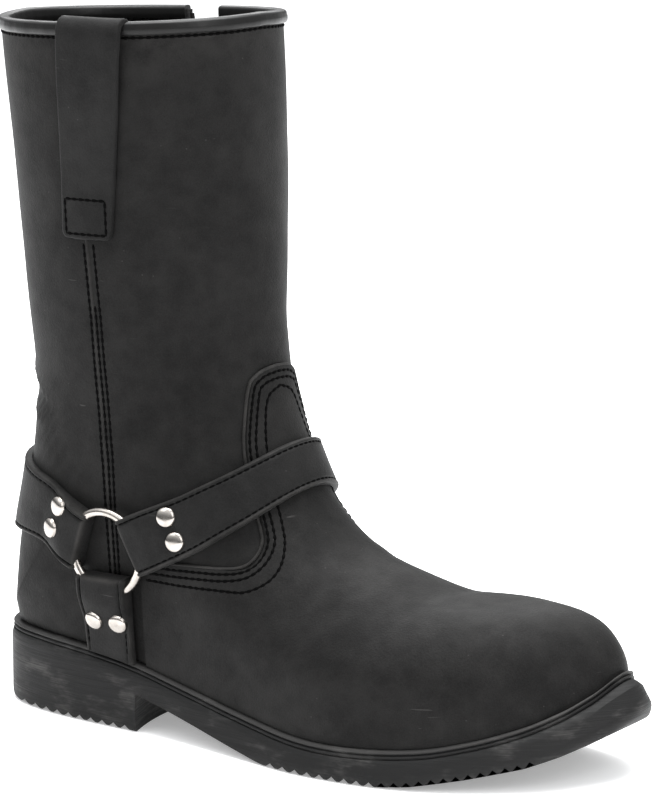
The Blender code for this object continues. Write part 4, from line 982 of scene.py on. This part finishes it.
def make_sole():
    loops = []
    for outwards, draw_share, height in SOLE_SIDE:
        plan = sole_loop(outwards, SOLE_STATIONS, 0.0, draw_share)
        x = plan[:, 0]
        z = height + (sole_top(x) - GAP if height < 0 else sole_under(x))
        climb = draw_share**2 * read(LIP_LIFT, x) if loops else 0.0
        loops.append(np.column_stack([plan, z + climb]))
    high, low = loops[WALL_ROW:WALL_ROW + 2]
    shares = np.linspace(0, 1, WALL_ROWS + 2)[1:-1]
    loops[WALL_ROW + 1:WALL_ROW + 1] = [high + (low - high) * s for s in shares]
    mesh = new_mesh("sole_rubber", *sole_form(loops, SOLE_STATIONS))
    # The lip's rows get a painted highlight through the point attribute: a lighter line along its top
    wear_and_highlight_level = [LIP_HIGHLIGHT if LIP_TOP <= i <= LIP_FOOT else 0.0 for i in range(len(loops))]
    set_wear_and_highlight(mesh, np.repeat(wear_and_highlight_level, 2 * SOLE_STATIONS))
    mesh = cut_mesh(mesh, waist_cutter(), 'DIFFERENCE')
    mesh = cut_mesh(mesh, tread_cutter(), 'DIFFERENCE', SOLE_SHARP)
    add_piece("sole_rubber", mesh, RUBBER, ("outsole",))


def make_insole():
    loops = []
    for inset, up in INSOLE_SIDE:
        plan = sole_loop(-WALL - INSOLE_INSET - inset, INSOLE_STATIONS, INSOLE_RIM)
        loops.append(np.column_stack([plan, sole_top(plan[:, 0]) + up]))
    mesh = new_mesh("insole_cloth", *sole_form(loops, INSOLE_STATIONS))
    add_piece("insole_cloth", mesh, LINING, ("insole",))


# Harness

def ring_centre(side):
    low, high = (np.array(v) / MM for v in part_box("ring_lateral" if side < 0 else "ring_medial"))
    return (low + high) / 2


def ring_axis(side):
    return unit(np.array((0.0, side, -RING_LEAN)))


def convex_chain(points):
    chain = []
    for p in points:
        while len(chain) > 1:
            a, b = chain[-2], chain[-1]
            if (b[0] - a[0]) * (p[1] - b[1]) - (b[1] - a[1]) * (p[0] - b[0]) > 0:
                break
            chain.pop()
        chain.append(p)
    return np.array(chain)


def taut_slice(anchor, along, clearance, shares):
    """Line round the boot in the plane of along and Y, from one ring to the other."""
    origin = anchor + SLICE_INSIDE * along
    found = []
    for angle in SLICE_REACH:
        ray = math.cos(angle) * along + math.sin(angle) * ACROSS
        hit = UPPER_TREE.ray_cast(Vector(origin), Vector(ray))[0]
        if hit is not None:
            away = np.array(hit) - origin
            found.append((SLICE_INSIDE + away @ along, away[1]))
    chain = convex_chain(found)
    dense = resample(chain, np.linspace(0, lengths(chain)[-1], SLICE_STEPS))
    dense = dense[dense[:, 0] >= STRAP_END]
    step = np.gradient(soften(dense, SLICE_SOFT), axis=0)
    normal = unit(np.stack([step[:, 1], -step[:, 0]], 1))
    dense = dense + clearance * normal
    dense[[0, -1], 0] = STRAP_END
    line = resample(dense, shares * lengths(dense)[-1])
    return anchor + line[:, :1] * along + line[:, 1:] * ACROSS


def strap_thickness(grid, normals):
    thick = np.full(grid.shape[:2], STRAP_THICK)
    for side in (LATERAL, MEDIAL):
        centre, axis = ring_centre(side), ring_axis(side)
        away = grid - centre
        near = np.linalg.norm(away, axis=2)
        weight = 1 - smooth_step((near - FOLD_FULL) / FOLD_FADE)
        facing = np.maximum((normals * axis).sum(2), 0.5)
        wanted = (WIRE_RADIUS + GAP + FOLD_THICK - away @ axis) / facing
        thick = np.maximum(thick, STRAP_THICK + weight * (wanted - STRAP_THICK))
    return thick


def across_places(width, edge, middles, full):
    """Places across a strap as distances from its middle, and the share of the thickness there."""
    inwards, share = np.transpose(edge)
    middle = np.linspace(-1, 1, middles)[1:-1] * (width / 2 - inwards[-1])
    place = np.concatenate([inwards - width / 2, middle, width / 2 - inwards[::-1]])
    return place, np.concatenate([share, np.full(len(middle), full), share[::-1]])


def grid_normals(grid, away_from):
    normal = unit(np.cross(np.gradient(grid, axis=0), np.gradient(grid, axis=1)))
    return normal if ((grid - away_from) * normal).sum() > 0 else -normal


def ribbon(inner, outer):
    stations, across = inner.shape[:2]
    points, faces = loft([np.vstack([inner[m], outer[m][::-1]]) for m in range(stations)])
    count = 2 * across
    for start, flip in ((0, False), (count * (stations - 1), True)):
        for k in range(across - 1):
            quad = [start + k, start + k + 1, start + count - 2 - k, start + count - 1 - k]
            faces.append(quad[::-1] if flip else quad)
    return points, faces


def end_shares(total, stations, both=True):
    """Shares along a strap, close together at its folded ends."""
    fine, after = END_STEPS / total, AFTER_END / total
    if both:
        middle = np.linspace(after, 1 - after, stations - 2 * len(fine))
        return np.concatenate([fine, middle, 1 - fine[::-1]])
    return np.append(fine, np.linspace(after, 1, stations - len(fine)))


def finish_strap(name, grid, share, ends, away_from):
    """Strap from its inner face; ends holds each station's distance to the nearest folded end."""
    normals = grid_normals(grid, away_from)
    end = END_THIN + (1 - END_THIN) * bulge(np.clip(ends / END_ROUND, 0, 1), 2.0)
    thick = strap_thickness(grid, normals) * share[None] * end[:, None]
    outer = grid + normals * thick[:, :, None]
    mesh = new_mesh(name, *ribbon(grid, outer), STRAP_SHARP)
    at_edge = np.arange(len(share)) % (len(share) - WORN_COLUMNS + 1) < WORN_COLUMNS
    wear_and_highlight_level = read(SHARE_WEAR, share) * at_edge
    wear_and_highlight_level = np.maximum(wear_and_highlight_level[None], END_WEAR * np.exp(-(ends - END_WORN) ** 2)[:, None])
    set_wear_and_highlight(mesh, np.hstack([0 * wear_and_highlight_level, wear_and_highlight_level[:, ::-1]]).ravel())
    add_piece(name + "_leather", mesh, STRAP_LEATHER, (name,))
    facing = grid_normals(outer, away_from)[STITCH_ENDS:-STITCH_ENDS, len(share) // 2]
    lines = (outer[STITCH_ENDS:-STITCH_ENDS, column] for column in (STITCH_COLUMN, -1 - STITCH_COLUMN))
    return mesh_tree(mesh), [thread_row(line, facing) for line in lines]


def strap_rise(name, shares):
    """Middle line of a strap above its plane, eased."""
    steps = np.linspace(-0.2, 1.2, round(1.4 * RISE_GRID) + 1)
    inside = np.clip(np.minimum(steps, 1 - steps), 0, 1)
    rise = read(STRAP_RISE[name], inside)
    window = np.hanning(int(RISE_SOFT * RISE_GRID) + 1)
    return np.interp(shares, steps, np.convolve(rise, window / window.sum(), 'same'))


def make_ring_strap(name, forward, slope, width_ring, width_mid, clearance):
    angle = math.radians(slope)
    along = np.array((forward * math.cos(angle), 0.0, math.sin(angle)))
    upwards = np.array((-forward * math.sin(angle), 0.0, math.cos(angle)))
    anchor = np.array((RING_X, 0.0, RING_Z))
    shares = end_shares(STRAP_LENGTH, STRAP_STATIONS)
    lines = np.stack([taut_slice(anchor + v * upwards, along, clearance, shares) for v in SLICES], 1)
    grid = []
    for m, rise in enumerate(strap_rise(name, shares)):
        width = width_ring + (width_mid - width_ring) * math.sin(math.pi * shares[m]) ** 2
        place, share = across_places(width, *STRAP_ACROSS)
        grid.append(columns_at(place + rise, SLICES, lines[m]))
    ends = np.minimum(shares, 1 - shares) * STRAP_LENGTH
    return finish_strap(name, np.array(grid), share, ends, anchor + SLICE_INSIDE * along)


def make_stay(side):
    name = f"strap_stay_{SIDE_NAMES[side]}"
    top = RING_Z - STAY_END
    place, share = across_places(STAY_WIDTH, *STRAP_ACROSS)
    shares = end_shares(STAY_LENGTH, STAY_STATIONS, False)
    x, lift = STAY_X + place, VAMP_PROUD + STAY_CLEAR
    grid = np.array([side_row(x, top + (sole_top(x) - STAY_SUNK - top) * s, side, lift) for s in shares])
    return finish_strap(name, grid, share, shares * STAY_LENGTH, np.array((STAY_X, 0.0, top)))


def round_axes(axis):
    first = unit(np.cross(axis, (0.0, 0.0, 1.0)))
    return first, np.cross(axis, first)


def make_ring(side):
    axis = ring_axis(side)
    first, second = round_axes(axis)
    small = circle(WIRE_SIDES)[:, None]
    loops = []
    for t in circle(RING_STEPS):
        out = math.cos(t) * first + math.sin(t) * second
        loops.append(ring_centre(side) + RING_RADIUS * out
                     + WIRE_RADIUS * (np.cos(small) * out + np.sin(small) * axis))
    points, faces = loft(loops + loops[:1])
    count = RING_STEPS * WIRE_SIDES
    faces = [[i % count for i in f] for f in faces]
    name = f"ring_{SIDE_NAMES[side]}"
    add_piece(name + "_wire", new_mesh(name, points[:count], faces), NICKEL, (name,))


def rivet_seat(trees, x, z, side):
    """Place and direction of a rivet on the outermost strap there."""
    ring = [(x, z)] + [(x + RIVET_SEAT * math.cos(a), z + RIVET_SEAT * math.sin(a)) for a in circle(8)]
    hits = []
    for tree in trees:
        found = [tree.ray_cast(Vector((u, side * BEYOND, v)), Vector((0, -side, 0))) for u, v in ring]
        if all(f[0] for f in found):
            hits.append(found)
    outermost = max(hits, key=lambda found: side * found[0][0].y)
    spots = np.array([f[0] for f in outermost])
    normal = unit(np.array([f[1] for f in outermost]).mean(0))
    return spots[0] + normal * max(((spots - spots[0]) @ normal).max() * 0.5, 0.0), normal


def make_rivets(trees):
    profile = list(RIVET_FOOT)
    for t in np.linspace(0, math.pi / 2, RIVET_ROWS)[:-1]:
        profile.append((RIVET_DOME * math.cos(t) ** 0.8, RIVET_START + (1 - RIVET_START) * math.sin(t)))
    turn = circle(RIVET_SIDES)[:, None]
    for side, where in SIDE_NAMES.items():
        for name, x, z in RIVETS:
            seat, normal = rivet_seat(trees, x, z, side)
            first, second = round_axes(normal)
            out = RIVET_RADIUS * (np.cos(turn) * first + np.sin(turn) * second)
            points, faces = loft([seat + r * out + h * RIVET_HEIGHT * normal for r, h in profile])
            top, last = len(points), len(points) - RIVET_SIDES
            faces += [[last + i, last + (i + 1) % RIVET_SIDES, top] for i in range(RIVET_SIDES)]
            faces.append(list(range(RIVET_SIDES))[::-1])
            points = np.vstack([points, seat + RIVET_HEIGHT * normal])
            node = f"rivet_{where}_{name}"
            mesh = new_mesh(node, points, faces, ROUND_SHARP)
            add_piece(node + "_head", mesh, NICKEL, (node,))


# Collar

def rim_frame():
    """Rim of the collar with its outward and downward directions."""
    rim, below = section_points(COLLAR)[:-1], section_points(COLLAR - 0.1)[:-1]
    down = unit(below - rim)
    step = np.roll(rim, -1, 0) - np.roll(rim, 1, 0)
    out = unit(np.stack([-step[:, 1], step[:, 0], 0 * step[:, 0]], 1))
    out *= np.sign((out * (rim - rim.mean(0))).sum(1))[:, None]
    start = np.argmax((rim[:, 1] > 0) & (rim[:, 0] < ZIP_X - ZIP_MOUTH_HALF))
    frame_rows = np.roll(np.hstack([rim, out, down]), -start, 0)
    run = lengths(frame_rows[:, :3])
    rows = columns_at(np.arange(0, run[-1], RIM_STEP), run, frame_rows)
    rows = rows[(rows[:, 1] < 0) | (np.abs(rows[:, 0] - ZIP_X) > ZIP_MOUTH_HALF + 0.4)]
    return rows[:, :3], unit(rows[:, 3:6]), unit(rows[:, 6:])


def make_binding():
    rim, out, down = rim_frame()
    inner, thick, foot = WALL + 2 * GAP, BINDING_THICK, BINDING_HEIGHT
    face, back = GAP + thick, -inner - thick
    half, middle = (face - back) / 2, (face + back) / 2
    turns = np.linspace(0, math.pi, 15)
    roll = [(middle - half * math.cos(t), -0.25 - 1.75 * math.sin(t) ** 0.8) for t in turns]
    # Out and down, from the fold's inside over the rolled top to the outer face
    profile = [(GAP - 0.3, foot - 0.4), (GAP - 0.3, 0.3), (0.3 - inner, 0.3), (0.3 - inner, foot - 0.4),
               (-inner - 0.5 * thick, foot), (back, foot - 0.5), (back - 0.15, 1.6), *roll,
               (face + 0.30, 0.8), (face + 0.38, 1.6), (face + 0.26, 2.4), (face, 3.1),
               (GAP + 0.7 * thick, foot - 0.2), (GAP + 0.3 * thick, foot)]
    run = lengths(rim)
    ripple = 0.10 * np.sin(run / 5.1) + 0.08 * np.sin(run / 2.3 + 1.0)
    loops = np.stack([rim + (o + ripple * (o > GAP))[:, None] * out + d * down for o, d in profile], 1)
    mesh = new_mesh("collar_binding_leather", *tube(loops), ROUND_SHARP)
    add_piece("collar_binding_leather", mesh, BINDING, ("collar_binding",))
    seam = rim + (BINDING_HEIGHT + BINDING_SEAM) * down
    spots, normals = on_surface(UPPER_TREE, seam)
    rows = [thread_row(spots, smooth_normals(normals)), thread_row(seam - (inner + 0.1) * out, -out)]
    add_stitches("collar_stitches", rows)


def make_pull_strap():
    ends = section_points(COLLAR)
    rim_z = read(ends[[0, len(ends) // 2]][:, [0, 2]], PULL_X + PULL_LEAN)
    turn_z = rim_z - PULL_TURN
    heights = np.append(PULL_FOOT + PULL_END, np.linspace(PULL_FOOT + PULL_AFTER_END, turn_z, PULL_ROWS))
    grid = []
    for z in heights:
        up = (z - PULL_FOOT) / (turn_z - PULL_FOOT)
        short = max(PULL_CORNER - (z - PULL_FOOT), 0.0)
        width = PULL_WIDTH_FOOT + (PULL_WIDTH_TOP - PULL_WIDTH_FOOT) * up
        width -= 1.8 * (PULL_CORNER - math.sqrt(PULL_CORNER**2 - short**2))
        place, share = across_places(width, *PULL_ACROSS)
        lift = STRAP_CLEAR + (PULL_CLEAR - STRAP_CLEAR) * smooth_step((up - 0.15) / 0.8)
        lift = lift + PULL_GAPE * smooth_step((up - 0.55) / 0.45) * smooth_step((place + 4) / 18)
        grid.append(side_row(PULL_X + PULL_LEAN * up + place, z, LATERAL, lift))
    last, depth = grid[-1], PULL_CLEAR * 2 + WALL + GAP
    for t in np.linspace(0, math.pi, PULL_TURN_ROWS)[1:]:
        over = PULL_OVER * math.sin(t) ** 0.85 + PULL_PEAK * math.sin(t)
        grid.append(last + (0, depth * (1 - math.cos(t)) / 2, over))
    last = grid[-1] * (1, 1, 0)
    grid += [last + (0, 0, z) for z in np.linspace(turn_z - 4, PULL_INSIDE_FOOT, PULL_INSIDE_ROWS)]
    grid = np.array(grid)
    along = np.gradient(grid, axis=0)
    normal = unit(np.stack([0 * along[..., 0], -along[..., 2], along[..., 1]], 2))
    run = np.pad(heights - PULL_FOOT, (0, len(grid) - len(heights)), 'edge')
    rounding = 0.3 + 0.7 * bulge(np.clip(run, 0, 1), 2.0)
    outer = grid + normal * (PULL_THICK * share[None] * rounding[:, None])[:, :, None]
    mesh = new_mesh("pull_strap_leather", *ribbon(grid, outer), ROUND_SHARP)
    add_piece("pull_strap_leather", mesh, STRAP_LEATHER, ("pull_strap",))
    tree = mesh_tree(mesh)
    low, high, half = PULL_FOOT + PULL_BOX[0], PULL_FOOT + PULL_BOX[1], PULL_WIDTH_FOOT / 2 - PULL_BOX[2]
    box = [(-half, high), (-half, low), (half, low), (half, high), (-half, high)]
    rows = []
    for start, end in zip(box, box[1:]):
        spots = np.linspace(start, end, 12) + (PULL_X + PULL_LEAN * 0.1, 0)
        rows.append(thread_row(*side_line(tree, spots, LATERAL)))
    add_stitches("pull_strap_stitches", rows)


# Zip

def zip_line(grow, top, half, rounds):
    """Softened line round the zip's opening, on the upper, with its normals."""
    right, left = zip_outline(grow)
    path = np.array([(right[2][0], top)] + right[2::-1] + left[:3] + [(left[2][0], top)], float)
    dense = soften(resample(path, np.arange(0, lengths(path)[-1], 1.0)), half)
    line, normals = side_line(UPPER_TREE, dense, MEDIAL)
    return line, smooth_normals(normals, rounds)


def make_zip():
    x = ZIP_X + np.linspace(-1, 1, ZIP_COLUMNS) * (ZIP_HALF - TAPE_PLAY)
    heights = np.linspace(ZIP_FOOT, ZIP_TOP, ZIP_ROWS)
    grid = np.array([side_row(x, z, MEDIAL, -TAPE_DEPTH) for z in heights])
    tape = new_mesh("zip_tape_cloth", *ribbon(grid, grid + TAPE_THICK * ACROSS))
    add_piece("zip_tape_cloth", tape, TAPE, ("zip_chain",))
    turn = circle(10)
    ring = np.stack([0 * turn, ZIP_TOOTH_WIDE * np.cos(turn), ZIP_TOOTH_HIGH * np.sin(turn)], 1)
    parts = []
    for k, z in enumerate(np.arange(ZIP_FOOT + 2, ZIP_TOP - 1, ZIP_TOOTH_PITCH)):
        point, _ = side_point(UPPER_TREE, ZIP_X, z, MEDIAL)
        centre = np.array((ZIP_X + BOTH[k % 2] * ZIP_TOOTH_IN, point[1] - ZIP_TOOTH_IN, z))
        parts.append(tube([centre + (s, 0, 0) + r * ring for s, r in ZIP_TOOTH]))
    add_piece("zip_teeth", new_mesh("zip_teeth", *merge(parts)), TAPE)
    line, normals = zip_line(0.0, ZIP_EDGE_TOP, *ZIP_EDGE_SOFT)
    add_bead("zip_edges", line, normals, oval(*ZIP_BEAD), ZIP_WEAR, LEATHER)
    rows = [thread_row(*zip_line(grow, ZIP_STITCH_TOP, *ZIP_STITCH_SOFT)) for grow in ZIP_STITCHES]
    add_stitches("zip_stitches", rows)
    for node in ("zip_slider", "zip_pull"):
        obj = bpy.data.objects[node]
        obj.data.materials.clear()
        obj.data.materials.append(NICKEL)
        bevel = obj.modifiers.new("soft edges", 'BEVEL')
        bevel.width, bevel.segments, bevel.limit_method = 0.35 * MM, 3, 'ANGLE'


make_upper()
make_vamp()
make_side_seam()
make_sole()
make_insole()
HARNESS = [make_ring_strap(*row) for row in STRAPS]
for side in BOTH:
    HARNESS.append(make_stay(side))
    make_ring(side)
make_rivets([tree for tree, _ in HARNESS])
add_stitches("strap_stitches", [row for _, rows in HARNESS for row in rows])
make_binding()
make_pull_strap()
make_zip()
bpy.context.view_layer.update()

# Floor, light and camera

FLOOR_REACH = 12.0
LIGHTS = (
    # name, place, aim, size, power
    ("key", (-0.7, -1.3, 1.7), (0.05, 0, 0.15), (1.4, 1.0), 6),
    ("front", (1.6, -0.7, 1.1), (0.1, 0, 0.12), (0.9, 1.2), 9),
    ("top", (0.1, 0.2, 2.0), (0.08, 0, 0.1), (1.6, 1.6), 72),
    ("rear", (-0.9, 1.4, 1.2), (0.05, 0, 0.15), (1.2, 1.0), 10),
)


def make_floor():
    mesh = bpy.data.meshes.new("floor")
    corners = [(FLOOR_REACH * x, FLOOR_REACH * y, 0) for x, y in ((-1, -1), (1, -1), (1, 1), (-1, 1))]
    mesh.from_pydata(corners, [], [(0, 1, 2, 3)])
    paint = Shader("pale_floor").finish(Base_Color=grey(0.86), Roughness=0.9, Specular_IOR_Level=0.1,
                                        Emission_Color=grey(1.0), Emission_Strength=0.32)
    mesh.materials.append(paint)
    floor = add_object("floor", mesh)


def make_light(name, place, aim, size, power):
    data = bpy.data.lights.new(name, 'AREA')
    data.shape, data.energy = 'RECTANGLE', power
    data.size, data.size_y = size
    light = add_object(name, data)
    light.location = place
    light.rotation_euler = (Vector(aim) - Vector(place)).to_track_quat('-Z', 'Y').to_euler()


def make_world():
    """Studio that is bright overhead and dim at the level of the boot."""
    world = bpy.data.worlds.new("studio")
    world.use_nodes = True
    tree = world.node_tree
    coords = tree.nodes.new("ShaderNodeTexCoord")
    split = tree.nodes.new("ShaderNodeSeparateXYZ")
    ramp = tree.nodes.new("ShaderNodeMapRange")
    ramp.interpolation_type = 'SMOOTHSTEP'
    for key, value in (("From Min", -0.05), ("From Max", 0.9), ("To Min", 0.05), ("To Max", 1.5)):
        ramp.inputs[key].default_value = value
    background = tree.nodes["Background"]
    background.inputs["Color"].default_value = (0.97, 0.985, 1.0, 1.0)
    tree.links.new(coords.outputs["Generated"], split.inputs[0])
    tree.links.new(split.outputs["Z"], ramp.inputs["Value"])
    tree.links.new(ramp.outputs["Result"], background.inputs["Strength"])
    bpy.context.scene.world = world


CAMERA_AZ, CAMERA_EL, CAMERA_ROLL, CAMERA_DISTANCE = 36.0, 11.6, -1.2, 1.8
CAMERA_TARGET = (0.080, 0.0, 0.150)
CAMERA_LENS, CAMERA_SENSOR, CAMERA_CLIP = 186.26, 36.0, (0.05, 60.0)
CAMERA_AIM = (0.02148, -0.003055)      # from the target's direction to the picture's middle, right and up


def make_camera():
    az, el, roll = (math.radians(v) for v in (CAMERA_AZ, CAMERA_EL, CAMERA_ROLL))
    out = Vector((math.cos(el) * math.sin(az), -math.cos(el) * math.cos(az), math.sin(el)))
    right = Vector((math.cos(az), math.sin(az), 0))
    up = right.cross(-out)
    right, up = (math.cos(roll) * right + math.sin(roll) * up,
                 -math.sin(roll) * right + math.cos(roll) * up)
    forward = (-out + CAMERA_AIM[0] * right + CAMERA_AIM[1] * up).normalized()
    right = forward.cross(up).normalized()
    up = right.cross(forward)
    data = bpy.data.cameras.new("camera")
    data.lens, data.sensor_width = CAMERA_LENS, CAMERA_SENSOR
    data.clip_start, data.clip_end = CAMERA_CLIP
    camera = add_object("camera", data)
    place = Vector(CAMERA_TARGET) + CAMERA_DISTANCE * out
    turn = Matrix((right, up, -forward)).transposed().to_4x4()
    camera.matrix_world = Matrix.Translation(place) @ turn
    bpy.context.scene.camera = camera


make_floor()
for row in LIGHTS:
    make_light(*row)
make_world()
make_camera()
bpy.context.scene.view_settings.view_transform = 'Standard'
